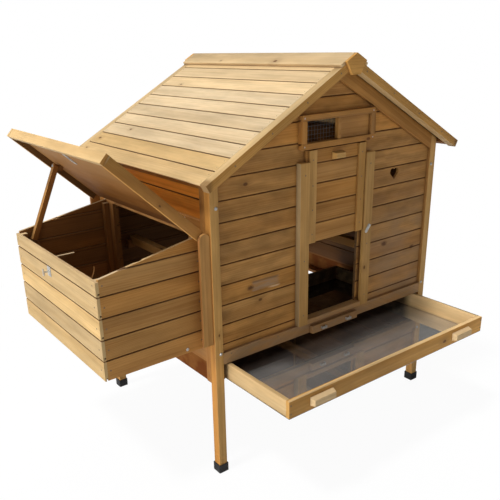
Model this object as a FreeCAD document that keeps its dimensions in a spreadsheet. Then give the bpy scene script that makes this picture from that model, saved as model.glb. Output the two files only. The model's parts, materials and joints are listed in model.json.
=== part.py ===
import FreeCAD, Part
import os
import re
import Sketcher

# Raised hen coop with a lidded nest box, a lifting pop door and a pull-out tray.
# Millimetres, +Z up. The front gable faces -Y and the nest box is on the -X side.
# The house is laid out about the middle of its four legs; each node's Placement then
# moves it so that the origin is the middle of the whole object's footprint.

# Driving sizes: alias, value, meaning
SIZES = (
    ("house_width", 1000, "across the outer faces of the legs"),
    ("house_depth", 744, "front to back over the legs"),
    ("leg_size", 30, "side of a square leg"),
    ("wall_bottom", 394, "underside of the walls above the ground"),
    ("frame_thickness", 12, "rails and stiles laid over the boards"),
    ("board_thickness", 10, "wall, roof and nest boards"),
    ("board_pitch", 64.5, "one board to the next"),
    ("board_gap", 4, "open joint between neighbouring boards"),
    ("lap_length", 9, "tongue of a board behind the joint and the board above it"),
    ("lap_fit", 0.3, "play of a lap"),
    ("bevel_top", 2, "bevel on the upper edge of a board"),
    ("bevel_bottom", 1, "bevel on the lower edge of a board"),
    ("foot_wall", 3, "side wall of a foot cap"),
    ("foot_floor", 4, "floor of a foot cap"),
    ("foot_height", 30, "height of a foot cap"),
    ("foot_fit", 0.2, "play of a leg in its foot cap"),
    ("bottom_rail_height", 39, "bottom rail of the front, back and right walls"),
    ("stile_width", 22, "stile of a side wall beside the leg"),
    ("side_rail_height", 40, "top rail of a side wall"),
    ("apron_drop", 67, "boards that hide the tray, below the walls"),
    ("apron_recess", 3, "apron boards behind the face of the walls"),
    ("roof_pitch", 29, "slope of the roof in degrees"),
    ("side_height", 591, "side walls from their underside to their top"),
    ("roof_clearance", 6, "gap between the gable walls and the roof boards"),
    ("roof_rows", 10, "boards on each slope"),
    ("ridge_gap", 1, "gap between the two slopes at the ridge"),
    ("eave_overhang", 48, "eave beyond the legs"),
    ("gable_overhang", 56, "bargeboard face beyond the legs"),
    ("gable_rail_width", 44, "sloping rail at the top of a gable"),
    ("batten_width", 20, "roof batten inside a gable"),
    ("batten_depth", 30, "roof batten below the boards"),
    ("batten_gap", 16, "roof batten short of the side wall"),
    ("barge_thickness", 30, "bargeboard front to back"),
    ("barge_depth", 25, "bargeboard across the slope"),
    ("eave_batten_width", 22, "batten under the boards along an eave"),
    ("eave_batten_inset", 14, "eave batten back from the edge of the roof"),
    ("cap_width", 60, "ridge cap down each slope"),
    ("cap_thickness", 10, "ridge cap"),
    ("plate_width", 84, "ridge end plate at its shoulders"),
    ("plate_foot", 34, "ridge end plate at its foot"),
    ("plate_drop", 62, "ridge end plate top to foot"),
    ("plate_thickness", 10, "ridge end plate"),
    ("hole_width", 236, "pop hole"),
    ("sill_height", 17, "sill above the bottom rail"),
    ("guide_width", 39, "door guide across the wall"),
    ("guide_depth", 21, "door guide out from the boards"),
    ("guide_drop", 39, "upper end of the guides below the vent"),
    ("guide_inset", 10, "rebate of a guide behind its lip"),
    ("door_width", 269, "pop door over its boards"),
    ("door_gap", 5, "raised door below the vent"),
    ("door_lap", 8, "raised door down over the pop hole"),
    ("door_cover", 28, "closed door up over the pop hole"),
    ("door_lift", 2, "closed door above its sill"),
    ("door_thickness", 7.5, "pop door boards"),
    ("door_fit", 1, "play of the door front and back"),
    ("door_edge_fit", 2.5, "play of the door at each edge"),
    ("door_stile_width", 31, "stile on the door"),
    ("door_stile_thickness", 7, "stile on the door"),
    ("stile_fit", 2, "play between the door's stiles and the guides"),
    ("knob_width", 48, "door grip"),
    ("knob_height", 24, "door grip"),
    ("knob_depth", 19, "door grip out from the boards"),
    ("knob_drop", 27, "door grip below the door's upper edge"),
    ("grip_bevel", 4, "bevel of the wooden grips"),
    ("bar_width", 216, "ramp bar under the pop hole"),
    ("bar_height", 27, "ramp bar"),
    ("bar_depth", 15, "ramp bar"),
    ("staple_span", 22, "width of a ramp staple"),
    ("staple_spacing", 118, "one ramp staple to the other"),
    ("staple_reach", 9, "ramp staple out from the bar"),
    ("staple_thickness", 2.5, "strip of a ramp staple"),
    ("staple_height", 8, "strip of a ramp staple"),
    ("vent_width", 320, "vent frame"),
    ("vent_clearance", 3, "vent frame below the gable rails"),
    ("vent_height", 103, "vent frame"),
    ("vent_rail", 18, "rails of the vent frame"),
    ("vent_stile", 20, "stiles of the vent frame"),
    ("vent_depth", 19, "vent frame out from the boards"),
    ("vent_groove", 4.5, "groove in the vent rails for the cover"),
    ("cover_thickness", 8, "sliding vent cover"),
    ("cover_width", 146, "sliding vent cover"),
    ("cover_fit", 1, "play of the cover in its grooves"),
    ("cover_rest", 2, "open cover short of the right stile"),
    ("cover_grip", 12, "grip strip on the cover"),
    ("mesh_pitch", 12.7, "mesh wires"),
    ("mesh_wire", 1.4, "thickness of a mesh wire"),
    ("mesh_lap", 8, "mesh beyond the edges of the vent opening"),
    ("heart_side", 25.8, "side of the square inside the heart"),
    ("heart_inset", 176, "middle of the heart from the right leg"),
    ("heart_drop", 123, "lower point of the heart below the top of the side walls"),
    ("nest_inset", 8, "nest box short of the stiles at each end"),
    ("nest_reach", 340, "nest box out from the legs"),
    ("nest_rise", 46, "underside of the nest box above the walls' underside"),
    ("nest_step", 12, "nest opening above the nest's underside"),
    ("jamb_width", 68, "jamb beside the nest opening"),
    ("head_drop", 20, "nest opening below the lid hinge"),
    ("head_height", 52, "head rail that carries the lid hinges"),
    ("nest_batten", 20, "corner batten of the nest box"),
    ("rim_gap", 8, "outer nest wall below the closed lid"),
    ("cheek_gap", 3, "nest side walls below the closed lid"),
    ("divider_drop", 7, "high part of the divider below the nest's rim"),
    ("divider_flat", 62, "high part of the divider along its top"),
    ("divider_curve", 60, "each curve of the divider's top"),
    ("divider_thickness", 9, "divider between the two nests"),
    ("divider_fit", 4, "divider short of the walls"),
    ("lid_drop", 167, "lid hinge below the top of the side wall"),
    ("lid_slope", 10, "slope of the closed lid in degrees"),
    ("lid_open", 43, "open lid above level in degrees"),
    ("lid_overhang", 48, "closed lid beyond the nest's outer wall"),
    ("lid_side_gap", 27, "lid's edge boards clear of the nest walls"),
    ("lid_rows", 6, "boards in the lid"),
    ("lining_thickness", 3, "plain sheet under the lid's boards"),
    ("lid_setback", 6, "lid boards start this far from the hinge"),
    ("fascia_thickness", 14, "edge boards of the lid"),
    ("fascia_depth", 30, "edge boards of the lid"),
    ("fascia_setback", 12, "side edge boards start this far from the hinge"),
    ("hinge_length", 60, "lid hinge along its pin"),
    ("hinge_radius", 4, "knuckle of a lid hinge"),
    ("hinge_leaf", 28, "leaf of a lid hinge"),
    ("hinge_thickness", 1.5, "leaf of a lid hinge"),
    ("hinge_spacing", 420, "one lid hinge to the other"),
    ("hinge_gap", 0.6, "gap between neighbouring knuckles and leaves"),
    ("pin_radius", 2, "lid hinge pin"),
    ("pin_fit", 0.05, "running clearance of every pin"),
    ("prop_size", 18, "side of the prop stick"),
    ("prop_foot_drop", 25.5, "prop foot below the nest's rim"),
    ("prop_foot_gap", 20, "prop foot from the corner batten"),
    ("prop_reach", 222, "prop pivot from the lid hinge"),
    ("prop_drop", 14, "prop pivot below the lid boards"),
    ("prop_inset", 27, "prop from the outside of the nest box"),
    ("prop_gap", 4, "prop foot above its rest"),
    ("prop_side_fit", 0.4, "play beside the prop at its pivot"),
    ("prop_block_width", 16, "block beside the prop's pivot"),
    ("screw_radius", 2.5, "pivot screws"),
    ("screw_head", 5, "head of a pivot screw"),
    ("screw_bite", 12, "prop's screw into its block"),
    ("rest_height", 22, "rest under the prop"),
    ("rest_width", 40, "rest under the prop"),
    ("rest_depth", 14, "rest out from the nest wall"),
    ("hasp_y", 30, "hasp and latch behind the middle of the nest"),
    ("hasp_inset", 18, "hasp pivot from the lid's outer edge board"),
    ("hasp_drop", 2.5, "hasp pivot below the lid boards"),
    ("hasp_width", 22, "hasp strap"),
    ("hasp_radius", 2.2, "hasp knuckle"),
    ("hasp_pin", 1, "hasp pin"),
    ("hasp_thickness", 1.5, "hasp strap and leaf"),
    ("hasp_leaf_gap", 1, "hasp leaf short of the edge board"),
    ("hasp_slot_at", 63, "slot in the strap from its pivot"),
    ("slot_length", 26, "slot in the strap"),
    ("slot_width", 9, "slot in the strap"),
    ("hasp_tail", 20, "strap beyond the middle of its slot"),
    ("latch_drop", 60, "turn eye below the nest's rim"),
    ("latch_width", 26, "latch plate"),
    ("latch_length", 32, "latch plate"),
    ("latch_thickness", 1.5, "latch plate"),
    ("eye_radius", 3, "stem of the turn eye"),
    ("eye_reach", 17, "stem of the turn eye out from the wall"),
    ("eye_length", 22, "wing of the turn eye"),
    ("eye_width", 6, "wing of the turn eye"),
    ("eye_thickness", 4, "wing of the turn eye"),
    ("catch_length", 34, "turn button beside the door"),
    ("catch_width", 12, "turn button beside the door"),
    ("catch_thickness", 2, "turn button beside the door"),
    ("catch_lean", 34, "turn button out of upright in degrees"),
    ("catch_rise", 12, "pivot of the turn button above the raised door's foot"),
    ("tray_side_gap", 15, "tray clear of the legs at each side"),
    ("tray_short", 24, "tray shorter than the house is deep"),
    ("tray_gap", 3, "tray below the walls"),
    ("tray_height", 55, "tray's frame"),
    ("tray_board", 14, "thickness of the tray's frame"),
    ("tray_sheet", 1, "metal sheet under the tray"),
    ("tray_out", 288, "tray pulled out in front of the house"),
    ("tray_fit", 0.5, "tray above its runners"),
    ("runner_width", 43, "tray runner"),
    ("runner_height", 12, "tray runner"),
    ("handle_width", 92, "tray grip"),
    ("handle_height", 28, "tray grip"),
    ("handle_depth", 18, "tray grip"),
    ("handle_spacing", 660, "one tray grip to the other"),
    ("perch_size", 30, "side of a perch"),
    ("perch_rise", 211, "underside of the perches above the walls' underside"),
    ("perch_x", 380, "first perch left of the middle"),
    ("perch_spacing", 600, "one perch to the other"),
    ("perch_fit", 1, "play of a perch in its brackets"),
    ("bracket_depth", 18, "perch bracket out from the wall"),
    ("bracket_wall", 15, "perch bracket around the perch"),
    ("bracket_lip", 18, "perch bracket up beside the perch"),
)

# Sizes that follow from the driving ones
DERIVED = {
    "half_width": "house_width / 2",
    "half_depth": "house_depth / 2",
    "leg_inner_x": "half_width - leg_size",
    "leg_inner_y": "half_depth - leg_size",
    "skin_x": "half_width - frame_thickness",
    "skin_y": "half_depth - frame_thickness",
    "inner_x": "skin_x - board_thickness",
    "inner_y": "skin_y - board_thickness",
    "stile_inner": "leg_inner_y - stile_width",
    "rail_top": "wall_bottom + bottom_rail_height",
    "side_top": "wall_bottom + side_height",
    "gable_apex": "side_top + half_width * tan(roof_pitch)",
    "side_rows": "ceil(side_height / board_pitch)",
    "gable_rows": "ceil((gable_apex - wall_bottom) / board_pitch)",
    "roof_under": "gable_apex + roof_clearance",
    "ridge_height": "roof_under + board_thickness / cos(roof_pitch)",
    "batten_end": "inner_x - batten_gap",
    "roof_end": "half_depth + gable_overhang",
    "roof_length": "2 * (roof_end - barge_thickness)",
    "slope_length": "(half_width + eave_overhang) / cos(roof_pitch)",
    "ridge_start": "board_thickness * tan(roof_pitch) + ridge_gap + lap_length",
    "slope_pitch": "(slope_length - ridge_start) / roof_rows",
    "ridge_top": "ridge_height + cap_thickness / cos(roof_pitch)",
    "eave_batten_out": "slope_length - eave_batten_inset",
    "eave_batten_in": "eave_batten_out - eave_batten_width",
    "hole_half": "hole_width / 2",
    "sill_top": "rail_top + sill_height",
    "door_half": "door_width / 2",
    "door_height": "(vent_bottom - door_gap - sill_top - door_lift + door_lap + door_cover) / 2",
    "door_rest": "vent_bottom - door_gap - door_height",
    "hole_top": "door_rest + door_lap",
    "guide_top": "vent_bottom - guide_drop",
    "door_rows": "ceil(door_height / board_pitch)",
    "door_back": "skin_y + door_fit",
    "door_face": "door_back + door_thickness",
    "guide_lip": "door_face + door_fit",
    "guide_groove": "door_half + door_edge_fit",
    "guide_inner": "guide_groove - guide_inset",
    "guide_face": "skin_y + guide_depth",
    "door_stile_out": "guide_inner - stile_fit",
    "bar_face": "half_depth + bar_depth",
    "bar_middle": "wall_bottom + bar_height / 2",
    "vent_half": "vent_width / 2",
    "vent_inner": "vent_half - vent_stile",
    "gable_rail": "gable_rail_width / cos(roof_pitch)",
    "vent_top": "gable_apex - vent_half * tan(roof_pitch) - gable_rail - vent_clearance",
    "vent_bottom": "vent_top - vent_height",
    "vent_low": "vent_bottom + vent_rail",
    "vent_high": "vent_top - vent_rail",
    "vent_face": "skin_y + vent_depth",
    "cover_back": "skin_y + 2 * cover_fit",
    "cover_face": "cover_back + cover_thickness",
    "vent_lip": "cover_face + cover_fit",
    "cover_low": "vent_low - vent_groove + cover_fit",
    "cover_high": "vent_high + vent_groove - cover_fit",
    "cover_right": "vent_inner - cover_rest",
    "mesh_side": "vent_inner + mesh_lap",
    "mesh_middle": "(vent_low + vent_high) / 2",
    "mesh_columns": "floor(2 * vent_inner / mesh_pitch)",
    "mesh_lines": "floor((vent_high - vent_low) / mesh_pitch)",
    "heart_x": "leg_inner_x - heart_inset",
    "heart_z": "side_top - heart_drop",
    "nest_half": "stile_inner - nest_inset",
    "nest_length": "2 * nest_half",
    "nest_bottom": "wall_bottom + nest_rise",
    "nest_sill": "nest_bottom + nest_step",
    "nest_out": "half_width + nest_reach",
    "nest_inner_x": "nest_out - board_thickness",
    "nest_inner_y": "nest_half - board_thickness",
    "nest_floor_top": "nest_bottom + board_thickness",
    "mouth_half": "stile_inner - jamb_width",
    "lid_height": "side_top - lid_drop",
    "head_bottom": "lid_height - head_drop",
    "pivot_x": "half_width + hinge_radius",
    "lid_under": "lid_height + pivot_x * tan(lid_slope) - board_thickness / cos(lid_slope)",
    "nest_rim": "lid_under - nest_out * tan(lid_slope) - rim_gap",
    "cheek_out": "lid_under - nest_inner_x * tan(lid_slope) - cheek_gap",
    "cheek_in": "lid_under - half_width * tan(lid_slope) - cheek_gap",
    "rim_rows": "ceil((nest_rim - nest_bottom) / board_pitch)",
    "cheek_rows": "ceil((cheek_in - nest_bottom) / board_pitch)",
    "divider_top": "nest_rim - divider_drop",
    "divider_out": "nest_inner_x - divider_fit",
    "curve_start": "divider_out - divider_flat",
    "curve_middle": "curve_start - divider_curve",
    "curve_end": "curve_middle - divider_curve",
    "lid_length": "(nest_out + lid_overhang - pivot_x) / cos(lid_slope)",
    "lid_half": "nest_half + lid_side_gap + fascia_thickness",
    "lid_width": "2 * lid_half",
    "lid_span": "lid_length - fascia_thickness",
    "lid_pitch": "(lid_span - lid_setback - lap_length + board_gap) / lid_rows",
    "lid_board": "board_thickness - lining_thickness",
    "knuckle": "hinge_length / 3",
    "prop_y": "nest_half - prop_inset",
    "prop_depth": "board_thickness + prop_drop",
    "prop_top_x": "pivot_x + prop_reach * cos(lid_open) + prop_depth * sin(lid_open)",
    "prop_top_z": "lid_height + prop_reach * sin(lid_open) - prop_depth * cos(lid_open)",
    "rest_out": "nest_inner_x - nest_batten",
    "prop_foot_x": "rest_out - prop_foot_gap",
    "prop_foot_z": "nest_rim - prop_foot_drop",
    "prop_run": "prop_foot_x - prop_top_x",
    "prop_fall": "prop_top_z - prop_foot_z",
    "prop_length": "sqrt(pow(prop_run; 2) + pow(prop_fall; 2))",
    "prop_angle": "atan(prop_run / prop_fall) / 1deg",
    "prop_tilt": "lid_open - prop_angle",
    "prop_side": "prop_size / 2 + prop_side_fit",
    "prop_block_end": "prop_side + prop_block_width",
    "hasp_depth": "board_thickness + hasp_drop",
    "hasp_reach": "lid_span - hasp_inset",
    "hasp_leaf_end": "lid_span - hasp_leaf_gap",
    "hasp_knuckle": "hasp_width / 3",
    "hasp_end": "hasp_slot_at + hasp_tail",
    "latch_height": "nest_rim - latch_drop",
    "eye_end": "nest_out + eye_reach",
    "catch_x": "guide_groove + (guide_width - guide_inset) / 2",
    "catch_height": "door_rest + catch_rise",
    "catch_drop": "catch_length - catch_width",
    "tray_half": "leg_inner_x - tray_side_gap",
    "tray_depth": "house_depth - tray_short",
    "tray_bottom": "wall_bottom - tray_gap - tray_height",
    "apron_bottom": "wall_bottom - apron_drop",
    "tray_front": "half_depth + tray_out",
    "tray_back": "tray_depth - tray_front",
    "tray_top": "tray_bottom + tray_height",
    "runner_top": "tray_bottom - tray_sheet - tray_fit",
    "handle_z": "tray_bottom + (tray_height - handle_height) / 2",
    "handle_face": "tray_front + handle_depth",
    "perch_half": "perch_size / 2",
    "perch_height": "wall_bottom + perch_rise",
    "perch_end": "inner_y - perch_fit",
    "bracket_in": "perch_half + perch_fit",
    "bracket_out": "bracket_in + bracket_wall",
    "bracket_low": "perch_height - bracket_wall",
    "bracket_high": "perch_height + bracket_lip",
    "reach_left": "eye_end + eye_thickness",
    "reach_right": "half_width + eave_overhang",
    "reach_back": "roof_end + plate_thickness",
    "shift_x": "(reach_left - reach_right) / 2",
    "shift_y": "(handle_face - reach_back) / 2",
}

NAMES = [row[0] for row in SIZES]
WORD = re.compile(r"[a-z_]+")

doc = FreeCAD.newDocument("coop")
sheet = doc.addObject("Spreadsheet::Sheet", "dim")
for row, (alias, size, meaning) in enumerate(SIZES, start=1):
    sheet.set(f"A{row}", meaning)
    sheet.set(f"B{row}", str(size))
    sheet.setAlias(f"B{row}", alias)
doc.recompute()

nodes = []


def expr(text):
    """Spell a rule out in cells of the sheet."""
    def spell(match):
        word = match.group()
        if word in DERIVED:
            return f"({expr(DERIVED[word])})"
        if word in NAMES:
            return f"dim.{word}"
        return word
    return WORD.sub(spell, str(text))


def value(text):
    """The number that a rule gives now."""
    return float(sheet.evalExpression(expr(text)))


def bind(obj, **rules):
    """Tie properties of an object to rules."""
    for name, text in rules.items():
        obj.setExpression(name, expr(text))


def settle(obj, base, angle=None):
    """Tie an object's place to rules, with an optional turn about Y."""
    if angle is not None:
        start = FreeCAD.Rotation(FreeCAD.Vector(0, 1, 0), value(angle))
        obj.Placement = FreeCAD.Placement(FreeCAD.Vector(), start)
        obj.setExpression("Placement.Rotation.Angle", expr(angle))
    for axis, text in zip("xyz", base):
        obj.setExpression(f"Placement.Base.{axis}", expr(text))


def box(low, high):
    """A block between two corners."""
    obj = doc.addObject("Part::Box", "block")
    for name, a, b in zip(("Length", "Width", "Height"), low, high):
        bind(obj, **{name: f"({b}) - ({a})"})
    settle(obj, low)
    return obj


def rod(axis, base, radius, length):
    """A round bar that starts at a point and runs along an axis."""
    obj = doc.addObject("Part::Cylinder", "rod")
    turns = {"x": ((0, 1, 0), 90), "y": ((1, 0, 0), -90), "z": ((0, 0, 1), 0)}
    about, angle = turns[axis]
    turn = FreeCAD.Rotation(FreeCAD.Vector(*about), angle)
    obj.Placement = FreeCAD.Placement(FreeCAD.Vector(), turn)
    bind(obj, Radius=radius, Height=length)
    settle(obj, base)
    return obj


def grip(width, height, centre, back, depth):
    """A wooden grip on a front face, smaller at its outer side."""
    x, z = centre
    obj = doc.addObject("Part::Wedge", "grip")
    bind(obj, Ymin=f"-({back}) - ({depth})", Ymax=f"-({back})")
    bind(obj, X2min=f"{x} - {width} / 2", X2max=f"{x} + {width} / 2")
    bind(obj, Z2min=f"{z} - {height} / 2", Z2max=f"{z} + {height} / 2")
    bind(obj, Xmin=f"{x} - {width} / 2 + grip_bevel", Xmax=f"{x} + {width} / 2 - grip_bevel")
    bind(obj, Zmin=f"{z} - {height} / 2 + grip_bevel", Zmax=f"{z} + {height} / 2 - grip_bevel")
    return obj


def datum(body, role):
    """A plane or axis of a body's own origin."""
    return [item for item in body.Origin.OriginFeatures if item.Role == role][0]


def outline(body, plane, points, start, arcs):
    """A closed sketch through points given as rules, at a distance along the plane's axis."""
    sketch = body.newObject("Sketcher::SketchObject", "outline")
    sketch.AttachmentSupport = [(datum(body, f"{plane}_Plane"), "")]
    sketch.MapMode = "FlatFace"
    spots = [FreeCAD.Vector(value(u), value(v), 0) for u, v in points]
    count = len(points)
    for i, here in enumerate(spots):
        there = spots[(i + 1) % count]
        edge = Part.LineSegment(here, there)
        if i in arcs:
            hub = FreeCAD.Vector(value(arcs[i][0]), value(arcs[i][1]), 0)
            lean = FreeCAD.Vector(here.y - there.y, there.x - here.x, 0) * arcs[i][2]
            crown = hub + lean.normalize() * (here - hub).Length
            edge = Part.Arc(here, crown, there)
        sketch.addGeometry(edge, False)
    ends = [corner_ends(sketch, i, spots[i]) for i in range(count)]
    for i in range(count):
        after = (i + 1) % count
        join = Sketcher.Constraint("Coincident", i, ends[i][1], after, ends[after][0])
        sketch.addConstraint(join)
    for i, (u, v) in enumerate(points):
        pin_down(sketch, i, ends[i][0], DistanceX=u, DistanceY=v)
    for i, arc in arcs.items():
        span = spots[(i + 1) % count] - spots[i]
        if abs(span.x) > abs(span.y):
            pin_down(sketch, i, 3, DistanceY=arc[1])
        else:
            pin_down(sketch, i, 3, DistanceX=arc[0])
    toward = "-" if plane == "XZ" else ""
    sketch.setExpression("AttachmentOffset.Base.z", expr(f"{toward}({start})"))
    return sketch


def corner_ends(sketch, index, spot):
    """The first and last point numbers of an edge, read along the outline."""
    if sketch.getPoint(index, 1).distanceToPoint(spot) < 0.001:
        return 1, 2
    return 2, 1


def pin_down(sketch, index, end, **rules):
    """Fix a point of a sketch from its origin by rules."""
    for kind, text in rules.items():
        fixed = Sketcher.Constraint(kind, -1, 1, index, end, value(text))
        number = sketch.addConstraint(fixed)
        sketch.setExpression(f"Constraints[{number}]", expr(text))


def prism(plane, points, start, length, arcs=None):
    """A straight piece: an outline padded along +X, +Y or +Z from a start."""
    body = doc.addObject("PartDesign::Body", "piece")
    sketch = outline(body, plane, points, start, arcs or {})
    pad = body.newObject("PartDesign::Pad", "pad")
    pad.Profile = sketch
    pad.Reversed = plane == "XZ"
    bind(pad, Length=length)
    return body


def boarding(plane, lay, start, length, axis, pitch, rows, thickness="board_thickness", back=False):
    """Lapped boards side by side: lay turns (depth, height) into a point of the plane."""
    lip = f"({thickness} - lap_fit) / 2"
    tail = f"({thickness} + lap_fit) / 2"
    top = f"{pitch} - board_gap"
    profile = (
        ("bevel_bottom", "0"), ("0", "bevel_bottom"), ("0", f"{top} - bevel_top"), ("bevel_top / 2", top),
        (tail, top), (tail, f"{top} + lap_length"), (thickness, f"{top} + lap_length"),
        (thickness, "lap_length + lap_fit"), (lip, "lap_length + lap_fit"), (lip, "0"))
    body = prism(plane, [lay(*point) for point in profile], start, length)
    run = body.newObject("PartDesign::LinearPattern", "run")
    run.Originals = [body.Tip]
    run.Direction = (datum(body, f"{axis}_Axis"), [""])
    run.Reversed = back
    bind(run, Length=f"({rows} - 1) * ({pitch})", Occurrences=rows)
    body.Tip = run
    return body


def trim(boards, keep):
    """Boards cut to the shape of another solid."""
    obj = doc.addObject("Part::Common", "trimmed")
    obj.Base = boards
    obj.Tool = keep
    return obj


def cut(base, *tools):
    """A piece with openings taken out of it."""
    obj = doc.addObject("Part::Cut", "opened")
    obj.Base = base
    obj.Tool = tools[0] if len(tools) == 1 else group(tools)
    return obj


def fuse(*pieces):
    """One solid out of several."""
    obj = doc.addObject("Part::MultiFuse", "joined")
    obj.Shapes = list(pieces)
    return obj


def group(pieces):
    """Separate solids kept side by side."""
    obj = doc.addObject("Part::Compound", "group")
    obj.Links = list(pieces)
    return obj


def node(label, *pieces, base=("0", "0", "0"), angle=None):
    """A named sub-part, placed from the middle of the footprint."""
    obj = group(pieces)
    obj.Label = label
    x, y, z = base
    settle(obj, (f"{x} + shift_x", f"{y} + shift_y", z), angle)
    nodes.append(obj)


def on_slope(body, side):
    """Lay a piece drawn flat on a roof slope: side is 1 on the right and -1 on the left."""
    settle(body, ("0", "0", "ridge_height"), f"{side} * roof_pitch")
    return body


# Legs and foot caps
caps = []
for end, front in (("front", -1), ("back", 1)):
    for hand, side in (("left", -1), ("right", 1)):
        top = "gable_apex - {} * tan(roof_pitch)"
        low = f"{front} * half_depth" if front < 0 else "leg_inner_y"
        leg = prism("XZ", (
            (f"{side} * leg_inner_x", "foot_floor"), (f"{side} * half_width", "foot_floor"),
            (f"{side} * half_width", top.format("half_width")),
            (f"{side} * leg_inner_x", top.format("leg_inner_x"))), low, "leg_size")
        node(f"leg_{end}_{hand}", leg)
        x = f"{side} * (half_width - leg_size / 2)"
        y = f"{front} * (half_depth - leg_size / 2)"
        play = "(leg_size / 2 + foot_fit)"
        wide = f"({play} + foot_wall)"
        slim = f"({wide} - foot_wall / 2)"
        rim = (
            (f"{x} - {wide}", f"{y} - {slim}"), (f"{x} - {slim}", f"{y} - {wide}"),
            (f"{x} + {slim}", f"{y} - {wide}"), (f"{x} + {wide}", f"{y} - {slim}"),
            (f"{x} + {wide}", f"{y} + {slim}"), (f"{x} + {slim}", f"{y} + {wide}"),
            (f"{x} - {slim}", f"{y} + {wide}"), (f"{x} - {wide}", f"{y} + {slim}"))
        socket = box((f"{x} - {play}", f"{y} - {play}", "foot_floor"),
                     (f"{x} + {play}", f"{y} + {play}", "foot_height + foot_wall"))
        caps.append(cut(prism("XY", rim, "0", "foot_height"), socket))
node("foot_caps", *caps)

# Front and back walls
gable = (
    ("-leg_inner_x", "wall_bottom"), ("leg_inner_x", "wall_bottom"),
    ("leg_inner_x", "gable_apex - leg_inner_x * tan(roof_pitch)"), ("0", "gable_apex"),
    ("-leg_inner_x", "gable_apex - leg_inner_x * tan(roof_pitch)"))
heart_half = "heart_side / sqrt(2)"
heart = prism("XZ", (
    ("heart_x", "heart_z"), (f"heart_x + {heart_half}", f"heart_z + {heart_half}"),
    ("heart_x", f"heart_z + 2 * {heart_half}"),
    (f"heart_x - {heart_half}", f"heart_z + {heart_half}")), "-half_depth", "leg_size",
    {1: (f"heart_x + {heart_half} / 2", f"heart_z + 1.5 * {heart_half}", -1),
     2: (f"heart_x - {heart_half} / 2", f"heart_z + 1.5 * {heart_half}", -1)})
for end, front in (("front", -1), ("back", 1)):
    boards = boarding(
        "YZ", lambda a, b: (f"{front} * (skin_y - ({a}))", f"wall_bottom + {b}"),
        "-leg_inner_x", "2 * leg_inner_x", "Z", "board_pitch", "gable_rows")
    depth = f"{front} * skin_y" if front < 0 else "inner_y"
    wall = trim(boards, prism("XZ", gable, depth, "board_thickness"))
    if front < 0:
        pop_hole = box(("-hole_half", "-half_depth", "rail_top"),
                       ("hole_half", "-leg_inner_y", "hole_top"))
        vent_hole = box(("-vent_inner", "-half_depth", "vent_low"),
                        ("vent_inner", "-leg_inner_y", "vent_high"))
        wall = cut(wall, pop_hole, vent_hole, heart)
    node(f"{end}_boards", wall)
    face = f"{front} * half_depth" if front < 0 else "skin_y"
    frame = [prism("XZ", (
        ("-leg_inner_x", "wall_bottom"), ("leg_inner_x", "wall_bottom"),
        ("leg_inner_x", "rail_top"), ("-leg_inner_x", "rail_top")), face, "frame_thickness")]
    for side in (-1, 1):
        foot = "gable_apex - leg_inner_x * tan(roof_pitch)"
        frame.append(prism("XZ", (
            ("0", "gable_apex"), (f"{side} * leg_inner_x", foot),
            (f"{side} * leg_inner_x", f"{foot} - gable_rail"), ("0", "gable_apex - gable_rail")),
            face, "frame_thickness"))
    node(f"{end}_wall_frame", *frame)

# Side walls
aprons = []
for hand, side in (("left", -1), ("right", 1)):
    boards = boarding(
        "XZ", lambda a, b: (f"{side} * (skin_x - ({a}))", f"wall_bottom + {b}"),
        "-leg_inner_y", "2 * leg_inner_y", "Z", "board_pitch", "side_rows")
    limit = box(("-house_width", "-house_depth", "wall_bottom"),
                ("house_width", "house_depth", "side_top"))
    wall = trim(boards, limit)
    mouth = box(("-half_width", "-mouth_half", "nest_sill"),
                ("-leg_inner_x", "mouth_half", "head_bottom"))
    node(f"{hand}_boards", cut(wall, mouth) if side < 0 else wall)
    x = ("-half_width", "-skin_x") if side < 0 else ("skin_x", "half_width")
    low = "nest_sill" if side < 0 else "rail_top"
    frame = [
        box((x[0], "-leg_inner_y", "apron_bottom"), (x[1], "-stile_inner", "side_top")),
        box((x[0], "stile_inner", "apron_bottom"), (x[1], "leg_inner_y", "side_top")),
        box((x[0], "-stile_inner", "side_top - side_rail_height"),
            (x[1], "stile_inner", "side_top")),
        box((x[0], "-stile_inner", "wall_bottom"), (x[1], "stile_inner", low))]
    if side < 0:
        frame.append(box((x[0], "-stile_inner", "head_bottom"),
                         (x[1], "stile_inner", "head_bottom + head_height")))
    node(f"{hand}_wall_frame", *frame)
    x = ("-half_width + apron_recess", "-skin_x") if side < 0 else ("skin_x", "half_width - apron_recess")
    aprons.append(box((x[0], "-stile_inner", "apron_bottom"),
                      (x[1], "stile_inner", "wall_bottom")))
node("side_aprons", *aprons)
node("nest_jambs",
     box(("-half_width", "-stile_inner", "nest_sill"), ("-skin_x", "-mouth_half", "head_bottom")),
     box(("-half_width", "mouth_half", "nest_sill"), ("-skin_x", "stile_inner", "head_bottom")))

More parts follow.
